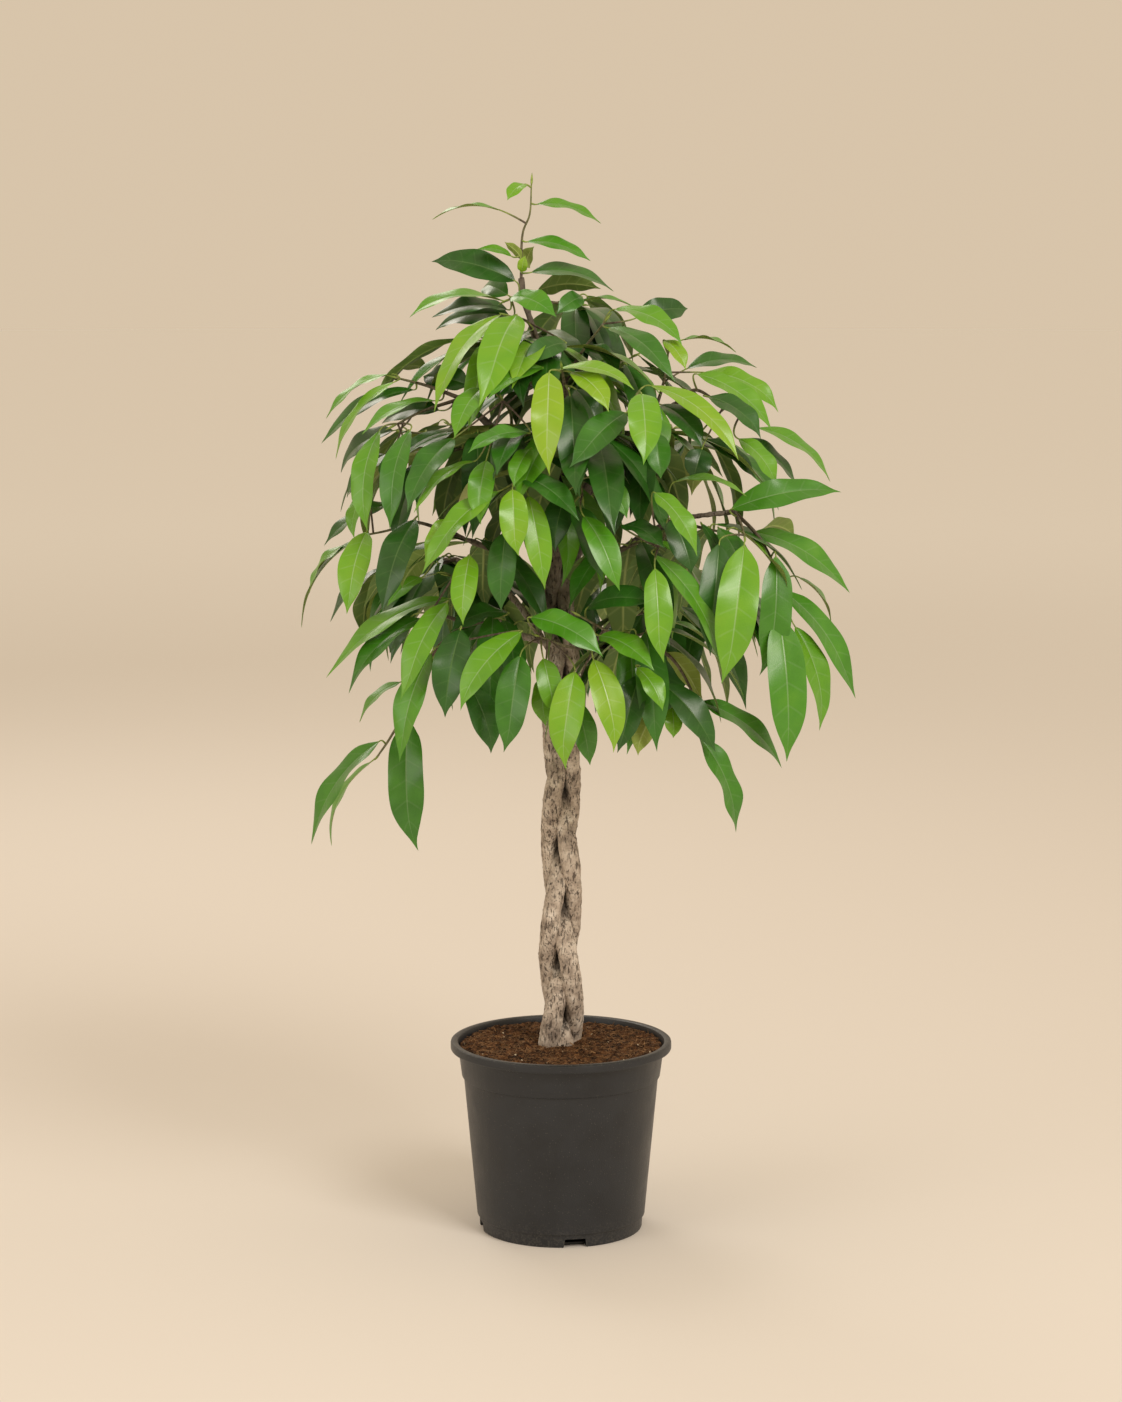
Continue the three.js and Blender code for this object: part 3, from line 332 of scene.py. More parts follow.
# What lies on the bed. Perlite is expanded volcanic glass: chalk-white, dull grains. The chips are
# composted bark and wood, and the fibres are dry roots and peat moss.
perlite, tree, shader = material("perlite", Roughness=0.9)
place = add(tree, "ShaderNodeTexCoord").outputs["Object"]
pores = add(tree, "ShaderNodeTexNoise", {"Vector": place, "Scale": 900, "Detail": 3}).outputs[0]
white = add(tree, "ShaderNodeValToRGB", {0: pores}, stops=[(0.35, "#b5a58a"), (0.6, "#e6d9be")]).outputs[0]
tree.links.new(white, shader.inputs["Base Color"])
chip_wood, tree, shader = material("chip_wood", Roughness=0.85)
place = add(tree, "ShaderNodeTexCoord").outputs["Object"]
streak = add(tree, "ShaderNodeTexNoise", {"Vector": place, "Scale": 260, "Detail": 4}).outputs[0]
tan = add(tree, "ShaderNodeValToRGB", {0: streak}, stops=[(0.35, "#5e4128"), (0.65, "#a17b52")]).outputs[0]
tree.links.new(tan, shader.inputs["Base Color"])

bits_tree, given, result = empty_tree("soil_bits", ["Crumbs", "Fibres", "Chips", "Perlite"])
where = add(bits_tree, "GeometryNodeInputPosition").outputs[0]
height = add(bits_tree, "ShaderNodeSeparateXYZ", {0: where}).outputs[2]
flat = add(bits_tree, "ShaderNodeVectorMath", {0: where, 1: (1, 1, 0)}, operation="MULTIPLY").outputs[0]
from_middle = add(bits_tree, "ShaderNodeVectorMath", {0: flat}, operation="LENGTH").outputs["Value"]
above = add(bits_tree, "FunctionNodeCompare", {0: height, 1: BITS_ABOVE},
            operation="GREATER_THAN").outputs[0]
clear = add(bits_tree, "FunctionNodeCompare", {0: from_middle, 1: BITS_WITHIN},
            operation="LESS_THAN").outputs[0]
on_top = add(bits_tree, "FunctionNodeBooleanMath", {0: above, 1: clear}).outputs[0]
lump = add(bits_tree, "GeometryNodeMeshIcoSphere", {"Radius": 1.0, "Subdivisions": 1}).outputs[0]
thread = add(bits_tree, "GeometryNodeCurveToMesh", {
    "Curve": add(bits_tree, "GeometryNodeCurveQuadraticBezier",
                 {"Resolution": 5, "Start": (-1, 0, 0), "Middle": (0, 0.8, 0.3),
                  "End": (1, 0, 0)}).outputs[0],
    "Profile Curve": add(bits_tree, "GeometryNodeCurvePrimitiveCircle",
                         {"Resolution": 3, "Radius": 0.045}).outputs[0],
    "Fill Caps": True}).outputs[0]
splinter = add(bits_tree, "GeometryNodeMeshCone", {
    "Vertices": 5, "Radius Top": 0.25, "Radius Bottom": 0.4, "Depth": 2.0, "Side Segments": 1}).outputs[0]
BITS = [("Crumbs", lump, (0.0005, 0.0005, 0.0004), (0.0021, 0.0017, 0.0013), peat, 1.5),
        ("Fibres", thread, (0.0030, 0.0030, 0.0030), (0.0068, 0.0068, 0.0055), chip_wood, 0.35),
        ("Chips", splinter, (0.0008, 0.0005, 0.0012), (0.0022, 0.0011, 0.0042), chip_wood, 1.6),
        ("Perlite", lump, (0.0007, 0.0007, 0.0006), (0.0019, 0.0017, 0.0014), perlite, 1.5)]
sorts = add(bits_tree, "GeometryNodeJoinGeometry")
for seed, (key, shape, least, most, stuff, tilt) in enumerate(BITS):
    spots = add(bits_tree, "GeometryNodeDistributePointsOnFaces",
                {"Mesh": given["Geometry"], "Selection": on_top, "Density": given[key], "Seed": seed + 11})
    turn = add(bits_tree, "FunctionNodeRandomValue",
               {0: (-tilt, -tilt, 0), 1: (tilt, tilt, 6.28), "Seed": seed + 21},
               data_type="FLOAT_VECTOR").outputs[0]
    size = add(bits_tree, "FunctionNodeRandomValue",
               {0: least, 1: most, "Seed": seed + 31}, data_type="FLOAT_VECTOR").outputs[0]
    laid = add(bits_tree, "GeometryNodeInstanceOnPoints",
               {"Points": spots.outputs["Points"], "Instance": shape, "Rotation": turn,
                "Scale": size}).outputs[0]
    solid = add(bits_tree, "GeometryNodeRealizeInstances", {0: laid}).outputs[0]
    finished = add(bits_tree, "GeometryNodeSetMaterial", {0: solid, "Material": stuff}).outputs[0]
    bits_tree.links.new(finished, sorts.inputs[0])
bits_tree.links.new(sorts.outputs[0], result[0])
bits = grow("soil_bits", soil.data, bits_tree, BITS_PER_SQUARE_METRE)
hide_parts("potting_soil")
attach(bits, "root")

# ---- The plaited stems ----
# Three young fig stems, plaited when they were soft and now woody: grey-brown bark with raised pores
# and painted shade on it where they cross. Above the plait each bends out and forks into branches.
SOIL_LINE, PLAIT_FOOT, PLAIT_TOP = 204, 150, 765
PLAIT_RADIUS, STEM_RADIUS, PLAIT_PERIOD, STRAND_STEP = 12.6, 10.2, 375, 15
ROOT_RADIUS, STEM_TIP_RADIUS, BRANCH_RADIUS, BRANCH_TIP_RADIUS = 5.0, 2.8, 4.2, 2.3
FOOT_SHARE, TOP_SHARE, FULL_GIRTH_DEPTH = 1.1, 0.78, 10
BARK_RELIEF = {"Lump height": 0.0042, "Ridge height": 0.0024, "Pore height": 0.0013}
STEMS = {
    "stem_left": {
        "phase": -70, "upper": [[30, -15, 810], [70, -25, 860], [120, -40, 900]],
        "branches": [
            (700, [[60, -50, 745], [120, -78, 780], [180, -80, 790]]),
            (720, [[50, 60, 790], [90, 120, 840]]),
            (640, [[-50, -50, 658], [-100, -75, 672]])]},
    "stem_right": {
        "phase": 50, "upper": [[-30, 0, 815], [-65, -20, 865], [-105, -35, 905]],
        "branches": [
            (640, [[55, -90, 650], [90, -120, 655]]),
            (740, [[-45, 60, 800], [-90, 120, 850]]),
            (600, [[60, 70, 660], [115, 120, 700]])]},
    "stem_rear": {
        "phase": 170, "upper": [[5, 5, 830], [-5, 10, 900], [-25, 5, 960], [-40, -5, 1015], [-42, -8, 1030]],
        "branches": [
            (700, [[-60, -45, 740], [-110, -70, 765]]),
            ([5, 5, 830], [[5, -75, 888], [5, -120, 915]]),
            ([-5, 10, 900], [[5, 60, 950], [10, 110, 985]]),
            (625, [[-60, 80, 690], [-115, 125, 720]]),
            (650, [[0, 60, 680], [0, 130, 700]])]}}


def plait_taper(z):
    """How much the plait has narrowed at a height: it is widest at the soil."""
    return FOOT_SHARE - (FOOT_SHARE - TOP_SHARE) * (z - SOIL_LINE) / (PLAIT_TOP - SOIL_LINE)


def strand_centre(phase, z):
    """The centre of one strand: side to side once a period and front to back twice, as in a hair plait."""
    angle = math.radians(phase) + 2 * math.pi * (z - SOIL_LINE) / PLAIT_PERIOD
    spread = PLAIT_RADIUS * plait_taper(z)
    return Vector((spread * math.sin(angle), spread * math.sin(2 * angle), z))


def smooth_path(corners, spacing):
    """Points about spacing apart on a smooth curve through the corners (a centripetal Catmull-Rom curve)."""
    p = [2 * corners[0] - corners[1], *corners, 2 * corners[-1] - corners[-2]]
    path = [corners[0]]
    for a, b, c, d in zip(p, p[1:], p[2:], p[3:]):
        s, t, u = ((b - a).length ** 0.5, (c - b).length ** 0.5, (d - c).length ** 0.5)
        start = ((b - a) / s - (c - a) / (s + t) + (c - b) / t) * t
        end = ((c - b) / t - (d - b) / (t + u) + (d - c) / u) * t
        steps = max(2, round((c - b).length / spacing))
        for k in range(1, steps + 1):
            x = k / steps
            path.append(b + start * x + (3 * (c - b) - 2 * start - end) * x * x
                        + (2 * (b - c) + start + end) * x ** 3)
    return path


def skeleton(name, lines):
    """A mesh of open lines, each a list of (point in mm, girth in mm, green from 0 to 1)."""
    mesh = bpy.data.meshes.new(name)
    points = [point for line in lines for point in line]
    edges, first = [], 0
    for line in lines:
        edges += [(first + k, first + k + 1) for k in range(len(line) - 1)]
        first += len(line)
    mesh.from_pydata([p * MM for p, girth, green in points], edges, [])
    for key, values in (("girth", [girth * MM for p, girth, green in points]),
                        ("green", [green for p, girth, green in points])):
        mesh.attributes.new(key, "FLOAT", "POINT").data.foreach_set("value", values)
    return mesh


# Fig bark: thin, matt and grey-brown, with pale raised pores, fine cracks along the stem, painted shade
# near the plait's axis, darkest where two stems press together, and browner on the young wood in the crown.
fig_bark, tree, shader = material("fig_bark", Roughness=0.88, Specular_IOR_Level=0.3)
place = add(tree, "ShaderNodeTexCoord").outputs["Object"]
split = add(tree, "ShaderNodeSeparateXYZ", {0: place}).outputs
height = split["Z"]
long_grain = add(tree, "ShaderNodeMapping", {"Vector": place, "Scale": (1, 1, 0.3)}).outputs[0]
blotches = add(tree, "ShaderNodeTexNoise",
               {"Vector": place, "Scale": 55, "Detail": 6, "Roughness": 0.62}).outputs[0]
cracks = add(tree, "ShaderNodeTexNoise",
             {"Vector": long_grain, "Scale": 400, "Detail": 6, "Distortion": 0.7}).outputs[0]
wide = add(tree, "ShaderNodeMapping", {"Vector": place, "Scale": (1, 1, 2.1)}).outputs[0]
pores = add(tree, "ShaderNodeTexVoronoi",
            {"Vector": wide, "Scale": 230, "Randomness": 1.0}).outputs["Distance"]
greys = add(tree, "ShaderNodeValToRGB", {0: blotches},
            stops=[(0.34, "#877b71"), (0.46, "#b3a598"), (0.58, "#cec2b5"), (0.70, "#e4dbd1")]).outputs[0]
crack = add(tree, "ShaderNodeMapRange", {0: cracks, 1: 0.55, 2: 0.66, 3: 0.0, 4: 0.8}).outputs[0]
cracked = add(tree, "ShaderNodeMix", {0: crack, 6: greys, 7: colour("#443a33")}, data_type="RGBA").outputs[2]
pore = add(tree, "ShaderNodeMapRange", {0: pores, 1: 0.12, 2: 0.24, 3: 0.8, 4: 0.0}).outputs[0]
pored = add(tree, "ShaderNodeMix", {0: pore, 6: cracked, 7: colour("#cac3b8")}, data_type="RGBA").outputs[2]
young = add(tree, "ShaderNodeMapRange", {0: height, 1: 0.56, 2: 0.76, 3: 0.0, 4: 0.78}).outputs[0]
browned = add(tree, "ShaderNodeMix", {0: young, 6: pored, 7: colour("#4c4239")}, data_type="RGBA").outputs[2]
sideways = add(tree, "ShaderNodeCombineXYZ", {0: split["X"], 1: split["Y"]}).outputs[0]
from_middle = add(tree, "ShaderNodeVectorMath", {0: sideways}, operation="LENGTH").outputs["Value"]
# Painted shade: the bark turns near black close to the plait's axis, where the strands meet and cross.
painted_crease_shade = add(tree, "ShaderNodeMapRange", {0: from_middle, 1: 0.006, 2: 0.0115, 3: 0.9, 4: 0.0}).outputs[0]
shaded = add(tree, "ShaderNodeMix", {0: painted_crease_shade, 6: browned, 7: colour("#2a231d")},
             data_type="RGBA").outputs[2]
tree.links.new(shaded, shader.inputs["Base Color"])
relief = add(tree, "ShaderNodeMath", {0: crack, 1: -1.0, 2: pore}, operation="MULTIPLY_ADD").outputs[0]
relief = add(tree, "ShaderNodeMath", {0: relief, 1: blotches}, operation="ADD").outputs[0]
bump = add(tree, "ShaderNodeBump", {"Height": relief, "Strength": 1.0, "Distance": 0.0018}).outputs[0]
tree.links.new(bump, shader.inputs["Normal"])

# The stem tree: a round bar along each line, as thick as its girth, with lumps, ridges along the grain
# and pores raised on it.
stem_tree, given, result = empty_tree("bark_stem", ["Lump height", "Ridge height", "Pore height"])
girth = add(stem_tree, "GeometryNodeInputNamedAttribute", {"Name": "girth"}, data_type="FLOAT").outputs[0]
lines = add(stem_tree, "GeometryNodeMeshToCurve", {0: given["Geometry"]}).outputs[0]
ring = add(stem_tree, "GeometryNodeCurvePrimitiveCircle", {"Resolution": 40, "Radius": 1.0}).outputs[0]
bars = add(stem_tree, "GeometryNodeCurveToMesh",
           {"Curve": lines, "Profile Curve": ring, "Scale": girth, "Fill Caps": True}).outputs[0]
where = add(stem_tree, "GeometryNodeInputPosition").outputs[0]
stretched = add(stem_tree, "ShaderNodeVectorMath", {0: where, 1: (1, 1, 0.35)},
                operation="MULTIPLY").outputs[0]
squat = add(stem_tree, "ShaderNodeVectorMath", {0: where, 1: (1, 1, 1.9)}, operation="MULTIPLY").outputs[0]
lumps = add(stem_tree, "ShaderNodeTexNoise", {"Vector": where, "Scale": 38, "Detail": 2}).outputs[0]
ridges = add(stem_tree, "ShaderNodeTexNoise", {"Vector": stretched, "Scale": 210, "Detail": 3}).outputs[0]
pores = add(stem_tree, "ShaderNodeTexVoronoi", {"Vector": squat, "Scale": 120}).outputs["Distance"]
dots = add(stem_tree, "ShaderNodeMapRange", {0: pores, 1: 0.12, 2: 0.3, 3: 1.0, 4: 0.5}).outputs[0]
rise = None
for key, noise in (("Lump height", lumps), ("Ridge height", ridges), ("Pore height", dots)):
    centred = add(stem_tree, "ShaderNodeMath", {0: noise, 1: 0.5}, operation="SUBTRACT").outputs[0]
    scaled = add(stem_tree, "ShaderNodeMath", {0: centred, 1: given[key]}, operation="MULTIPLY").outputs[0]
    rise = scaled if rise is None else add(stem_tree, "ShaderNodeMath", {0: rise, 1: scaled}).outputs[0]
outward = add(stem_tree, "GeometryNodeInputNormal").outputs[0]
offset = add(stem_tree, "ShaderNodeVectorMath", {0: outward, "Scale": rise}, operation="SCALE").outputs[0]
barked = add(stem_tree, "GeometryNodeSetPosition", {"Geometry": bars, "Offset": offset}).outputs[0]
barked = add(stem_tree, "GeometryNodeSetShadeSmooth", {0: barked}).outputs[0]
stem_tree.links.new(add(stem_tree, "GeometryNodeSetMaterial", {0: barked, "Material": fig_bark}).outputs[0],
                    result[0])

for node, stem in STEMS.items():
    strand = [strand_centre(stem["phase"], z) for z in range(PLAIT_FOOT, PLAIT_TOP + 1, STRAND_STEP)]
    path = smooth_path(strand + [Vector(p) for p in stem["upper"]], 2.4)
    upper = [p for p in path if p.z > PLAIT_TOP]
    line = []
    for p in path:
        if p.z < SOIL_LINE - FULL_GIRTH_DEPTH:
            share = (p.z - PLAIT_FOOT) / (SOIL_LINE - FULL_GIRTH_DEPTH - PLAIT_FOOT)
            girth = ROOT_RADIUS + (STEM_RADIUS * FOOT_SHARE - ROOT_RADIUS) * share
        elif p.z <= PLAIT_TOP:
            girth = STEM_RADIUS * plait_taper(p.z)
        else:
            share = upper.index(p) / len(upper)
            girth = STEM_RADIUS * TOP_SHARE * (1 - share) + STEM_TIP_RADIUS * share
        line.append((p, girth, 0.0))
    lines = [line]
    for start, points in stem["branches"]:
        foot = Vector(start) if isinstance(start, list) else strand_centre(stem["phase"], start)
        path = smooth_path([foot] + [Vector(p) for p in points], 3.0)
        slope = (BRANCH_TIP_RADIUS - BRANCH_RADIUS) / (len(path) - 1)
        lines.append([(p, BRANCH_RADIUS + slope * k, 0.0) for k, p in enumerate(path)])
    wood = grow("bark_" + node, skeleton(node, lines), stem_tree, BARK_RELIEF)
    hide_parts(node)
    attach(wood, "root")

# ---- The leafy shoots ----
# Long leathery fig leaves that hang from thin twigs on short stalks. Each shoot below is the points
# that its twig passes through, the twig's radius at its start, and its leaves. A leaf is [base x, y, z,
# tip x, y, z, width, face, age] in millimetres, where face is the compass angle that its upper side
# looks to, 0 to the front and 90 to the right, and age runs from 0, old and dark, to 1, new.
SHOOTS = {
    "leader_shoot": {
      "twig": [[-42, -8, 1030], [-40, -10, 1078], [-33, -12, 1096], [-31, -12, 1127]], "girth": 1.6,
      "leaves": [
        [-38, -12, 1128, -56, -34, 1111, 18, -20, 0.75], [-26, -9, 1107, 42, -15, 1086, 22, 55, 0.5],
        [-64, -10, 1101, -135, -20, 1091, 20, -75, 0.5], [-36, -12, 1068, 31, -20, 1047, 22, 45, 0.45],
        [-52, -12, 1053, -88, -16, 1060, 14, -60, 0.5], [-41, -12, 1050, -60, -8, 1067, 12, 165, 0.55],
        [-36, -14, 1042, -29, 6, 1064, 18, 180, 0.5], [-41, -18, 1037, -38, -24, 1054, 12, 0, 0.9],
        [-32, -8, 1036, 56, -12, 1016, 34, 58, 0.25]]
    },
    "crown_left_shoot": {
      "twig": [[-40, -5, 1015], [-55, -12, 1008]], "girth": 2.0,
      "leaves": [
        [-48, -8, 1027, -137, 15, 1048, 36, -60, 0.15], [-56, 2, 1012, -82, 50, 1020, 26, -30, 0.25],
        [-62, -20, 1007, -160, -40, 991, 34, -72, 0.55], [-56, -10, 997, -136, -14, 987, 34, -65, 0.12],
        [-54, 0, 990, -133, 22, 977, 34, -55, 0.1], [-52, -22, 1011, -4, -66, 991, 30, 10, 0.5]]
    },
    "crown_right_shoot": {
      "twig": [[-40, -5, 1015], [-15, -14, 1006], [18, -20, 1003]], "girth": 2.2,
      "leaves": [
        [-25, 2, 1017, 43, 22, 1018, 32, 165, 0.3],
        [22, -20, 1011, -6, -50, 994, 22, 30, 0.25], [15, -12, 1003, 76, -18, 1000, 20, 82, 0.5]]
    },
    "upper_left_front_shoot": {
      "twig": [[-25, 5, 960], [-35, -30, 985], [-55, -48, 992]], "girth": 2.4,
      "leaves": [
        [-63, -48, 993, -130, -130, 895, 34, -35, 0.75], [-46, -52, 993, -79, -150, 900, 42, -8, 0.7],
        [-30, -40, 977, -63, -112, 923, 26, -40, 0.2], [5, -60, 964, -43, -110, 943, 26, 15, 0.15]]
    },
    "front_left_shoot": {
      "twig": [[-55, -14, 850], [-52, -80, 890], [-60, -112, 908]], "girth": 2.4,
      "leaves": [
        [-18, -92, 940, -75, -150, 910, 28, -20, 0.5], [-81, -112, 920, -109, -162, 871, 30, -15, 0.55],
        [-110, -120, 869, -158, -172, 797, 36, -20, 0.2], [-33, -168, 877, -95, -192, 859, 28, -45, 0.4],
        [-89, -132, 846, -147, -182, 797, 27, -45, 0.65], [-76, -160, 849, -84, -192, 786, 28, -8, 0.5]]
    },
    "left_high_shoot": {
      "twig": [[-105, -35, 905], [-140, -30, 918], [-172, -25, 926]], "girth": 2.4,
      "leaves": [
        [-178, -20, 930, -247, -32, 883, 24, -70, 0.55], [-174, -40, 923, -236, -62, 843, 27, -58, 0.7],
        [-154, -30, 914, -253, -10, 853, 32, -68, 0.25], [-131, -60, 904, -206, -92, 870, 28, -58, 0.5],
        [-175, 0, 927, -142, 60, 931, 26, 175, 0.4], [-97, -20, 918, -148, 14, 924, 32, -58, 0.1]]
    },
    "left_drooping_shoot": {
      "twig": [[-105, -35, 905], [-145, -60, 893], [-172, -75, 880]], "girth": 2.2,
      "leaves": [
        [-188, -82, 875, -200, -125, 773, 33, -45, 0.6], [-155, -110, 877, -171, -152, 778, 33, -40, 0.3],
        [-129, -5, 891, -192, 25, 874, 32, -72, 0.1], [-177, -12, 870, -236, 22, 825, 34, -68, 0.1],
        [-186, 10, 843, -230, 32, 795, 26, -48, 0.12], [-166, -60, 850, -186, -82, 820, 24, -30, 0.15]]
    },
    "left_side_shoot": {
      "twig": [[-110, -70, 765], [-155, -80, 779], [-178, -82, 771], [-203, -86, 766]], "girth": 2.2,
      "leaves": [
        [-202, -90, 770, -219, -132, 688, 35, -18, 0.75], [-216, -42, 757, -276, -22, 661, 28, -80, 0.4],
        [-228, -32, 751, -266, -42, 700, 26, -68, 0.6], [-150, -120, 786, -181, -172, 694, 37, -20, 0.1],
        [-206, -60, 808, -217, -92, 762, 20, -38, 0.6], [-172, -32, 794, -250, -42, 750, 34, -66, 0.12]]
    },
    "left_inner_shoot": {
      "twig": [[-110, -70, 765], [-118, -105, 772], [-122, -128, 776]], "girth": 2.0,
      "leaves": [
        [-114, -150, 789, -137, -172, 745, 23, 0, 0.7],
        [-137, -100, 752, -165, -132, 716, 26, 150, 0.4], [-145, -110, 724, -178, -142, 697, 25, -25, 0.55],
        [-88, -140, 830, -104, -162, 782, 20, 160, 0.9]]
    },
    "left_low_shoot": {
      "twig": [[-100, -75, 672], [-125, -90, 682], [-148, -108, 680]], "girth": 2.4,
      "leaves": [
        [-115, -90, 700, -241, -132, 620, 37, -55, 0.6], [-145, -112, 682, -220, -152, 609, 35, -42, 0.3],
        [-157, -60, 678, -180, -72, 640, 28, -28, 0.1], [-116, -150, 703, -159, -202, 607, 35, -25, 0.65],
        [-93, -170, 753, -101, -202, 685, 29, -5, 0.75]]
    },
    "left_lower_front_shoot": {
      "twig": [[-100, -75, 672], [-108, -120, 668], [-112, -150, 660]], "girth": 2.2,
      "leaves": [
        [-133, -160, 652, -163, -192, 543, 35, -25, 0.5], [-102, -180, 679, -118, -212, 592, 39, -8, 0.1],
        [-94, -160, 618, -69, -182, 551, 33, 18, 0.15], [-40, -190, 677, -104, -222, 602, 37, -28, 0.65],
        [-55, -112, 688, -114, -152, 672, 31, -38, 0.1]]
    },
    "left_hanging_shoot": {
      "twig": [[-100, -75, 672], [-135, -78, 640], [-160, -68, 585], [-182, -42, 545], [-196, -10, 522]],
      "girth": 2.4,
      "leaves": [
        [-161, -62, 568, -156, -92, 432, 41, -15, 0.35], [-193, -32, 541, -265, -42, 429, 38, -55, 0.4],
        [-205, 8, 512, -250, 20, 419, 28, -78, 0.6], [-170, -45, 606, -213, -62, 565, 24, -58, 0.5]]
    },
    "front_high_shoot": {
      "twig": [[5, -120, 915], [3, -136, 928], [1, -150, 941]], "girth": 2.4,
      "leaves": [
        [-12, -150, 938, -15, -202, 837, 35, 0, 0.95], [-3, -144, 940, 76, -172, 922, 30, 55, 0.8],
        [11, -150, 938, 51, -192, 901, 28, 20, 0.85], [9, -140, 915, 14, -182, 812, 37, 5, 0.12],
        [15, -134, 920, 40, -152, 874, 31, 20, 0.1]]
    },
    "front_right_high_shoot": {
      "twig": [[38, -18, 825], [60, -80, 870], [72, -140, 905], [78, -170, 915]], "girth": 2.4,
      "leaves": [
        [66, -168, 898, 11, -202, 843, 37, -8, 0.3], [81, -186, 918, 85, -244, 850, 36, 4, 0.7],
        [91, -122, 923, 183, -172, 851, 29, 38, 0.8], [102, -130, 904, 144, -162, 862, 33, 33, 0.15],
        [95, -170, 877, 101, -192, 832, 27, 0, 0.25]]
    },
    "front_centre_shoot": {
      "twig": [[5, -75, 888], [-20, -125, 870], [-38, -158, 845], [-44, -175, 828]], "girth": 2.4,
      "leaves": [
        [-49, -190, 822, -46, -214, 756, 31, 0, 0.8], [-33, -180, 815, -17, -204, 721, 29, 4, 0.7],
        [-31, -162, 861, -49, -192, 824, 23, -18, 0.5], [-39, -170, 833, 19, -212, 791, 33, 22, 0.25],
        [-56, -170, 778, -62, -192, 698, 31, -5, 0.15], [-62, -172, 819, -138, -202, 735, 35, -42, 0.65]]
    },
    "front_inner_shoot": {
      "twig": [[5, -75, 888], [18, -120, 850], [22, -155, 812]], "girth": 2.0,
      "leaves": [
        [23, -190, 795, 57, -222, 721, 31, 18, 0.45], [14, -160, 803, 39, -192, 728, 33, 22, 0.1],
        [40, -140, 830, 68, -165, 790, 26, 20, 0.5], [5, -130, 812, -8, -160, 755, 32, -10, 0.1]]
    },
    "front_low_shoot": {
      "twig": [[90, -120, 655], [50, -150, 672], [20, -165, 690]], "girth": 2.2,
      "leaves": [
        [27, -150, 697, 98, -202, 707, 35, 22, 0.12], [39, -180, 672, 94, -222, 641, 33, 28, 0.5],
        [33, -190, 649, 57, -217, 558, 35, 12, 0.85], [14, -172, 604, 29, -182, 538, 27, 12, 0.35]]
    },
    "front_lowest_shoot": {
      "twig": [[55, -90, 650], [10, -140, 655], [-22, -172, 670]], "girth": 2.2,
      "leaves": [
        [-31, -190, 692, 44, -222, 657, 35, 22, 0.4], [14, -200, 638, 0, -227, 542, 37, -4, 0.75],
        [-18, -190, 650, -6, -202, 592, 27, 0, 0.6], [-17, -180, 630, -15, -192, 580, 24, -28, 0.6],
        [-41, -200, 655, -54, -222, 557, 37, -4, 0.3]]
    },
    "right_low_shoot": {
      "twig": [[90, -120, 655], [96, -138, 632], [102, -145, 612]], "girth": 2.2,
      "leaves": [
        [81, -150, 629, 60, -172, 549, 31, 0, 0.1], [78, -170, 638, 104, -192, 596, 25, 28, 0.7],
        [100, -160, 602, 76, -172, 548, 27, 168, 0.6], [115, -140, 592, 117, -152, 562, 20, 0, 0.7],
        [105, -140, 617, 159, -152, 547, 37, 18, 0.1]]
    },
    "right_lower_shoot": {
      "twig": [[90, -120, 655], [115, -112, 640], [138, -112, 600], [143, -122, 572]], "girth": 2.2,
      "leaves": [
        [143, -130, 560, 181, -132, 459, 35, 42, 0.35], [145, -100, 593, 232, -92, 522, 33, 48, 0.35],
        [110, -110, 646, 145, -112, 596, 28, 165, 0.6], [114, -62, 673, 168, -78, 632, 26, 75, 0.5]]
    },
    "right_front_shoot": {
      "twig": [[120, -78, 780], [108, -120, 770], [98, -158, 757]], "girth": 2.2,
      "leaves": [
        [95, -190, 742, 99, -212, 647, 31, 4, 0.7], [94, -170, 754, 163, -182, 637, 34, 42, 0.5],
        [95, -170, 817, 138, -202, 755, 29, 28, 0.65], [63, -150, 782, 104, -192, 761, 31, 28, 0.1],
        [113, -140, 787, 134, -162, 733, 35, 14, 0.12], [117, -120, 824, 190, -150, 811, 27, 55, 0.65]]
    },
    "right_side_shoot": {
      "twig": [[180, -80, 790], [186, -115, 780], [188, -140, 770]], "girth": 2.2,
      "leaves": [
        [162, -150, 764, 148, -172, 650, 35, 8, 0.12], [187, -160, 763, 168, -192, 623, 45, 4, 0.65],
        [176, -100, 794, 291, -82, 812, 35, 28, 0.4]]
    },
    "right_outer_shoot": {
      "twig": [[180, -80, 790], [205, -78, 765], [222, -80, 735], [232, -82, 705]], "girth": 2.2,
      "leaves": [
        [223, -100, 746, 212, -112, 621, 37, 18, 0.35], [226, -110, 685, 235, -132, 534, 43, 8, 0.5],
        [244, -90, 671, 272, -102, 563, 35, 36, 0.6], [231, -70, 707, 306, -82, 591, 37, 42, 0.45],
        [252, -32, 716, 286, -42, 668, 28, 78, 0.5], [202, -58, 767, 303, -62, 701, 37, 42, 0.4],
        [214, -18, 766, 254, 30, 754, 30, 178, 0.4]]
    },
    "right_upper_shoot": {
      "twig": [[-5, 10, 900], [20, -15, 950], [46, -28, 985]], "girth": 2.4,
      "leaves": [
        [56, -30, 998, 128, -72, 964, 33, 38, 0.6], [80, 8, 988, 136, 40, 995, 30, 55, 0.12],
        [49, -70, 980, 115, -132, 926, 33, 32, 0.3], [20, -30, 960, 62, -72, 932, 30, 40, 0.12]]
    },
    "right_high_shoot": {
      "twig": [[95, -32, 880], [108, -45, 925], [112, -52, 955]], "girth": 2.2,
      "leaves": [
        [128, -22, 966, 184, -32, 953, 26, 78, 0.5], [108, -60, 967, 130, -82, 937, 21, 20, 0.85],
        [134, 18, 934, 209, 30, 935, 32, 78, 0.25], [150, -22, 932, 231, -32, 893, 31, 52, 0.65]]
    },
    "right_spreading_shoot": {
      "twig": [[120, -40, 900], [140, -55, 915], [160, -62, 905], [188, -55, 885]], "girth": 2.2,
      "leaves": [
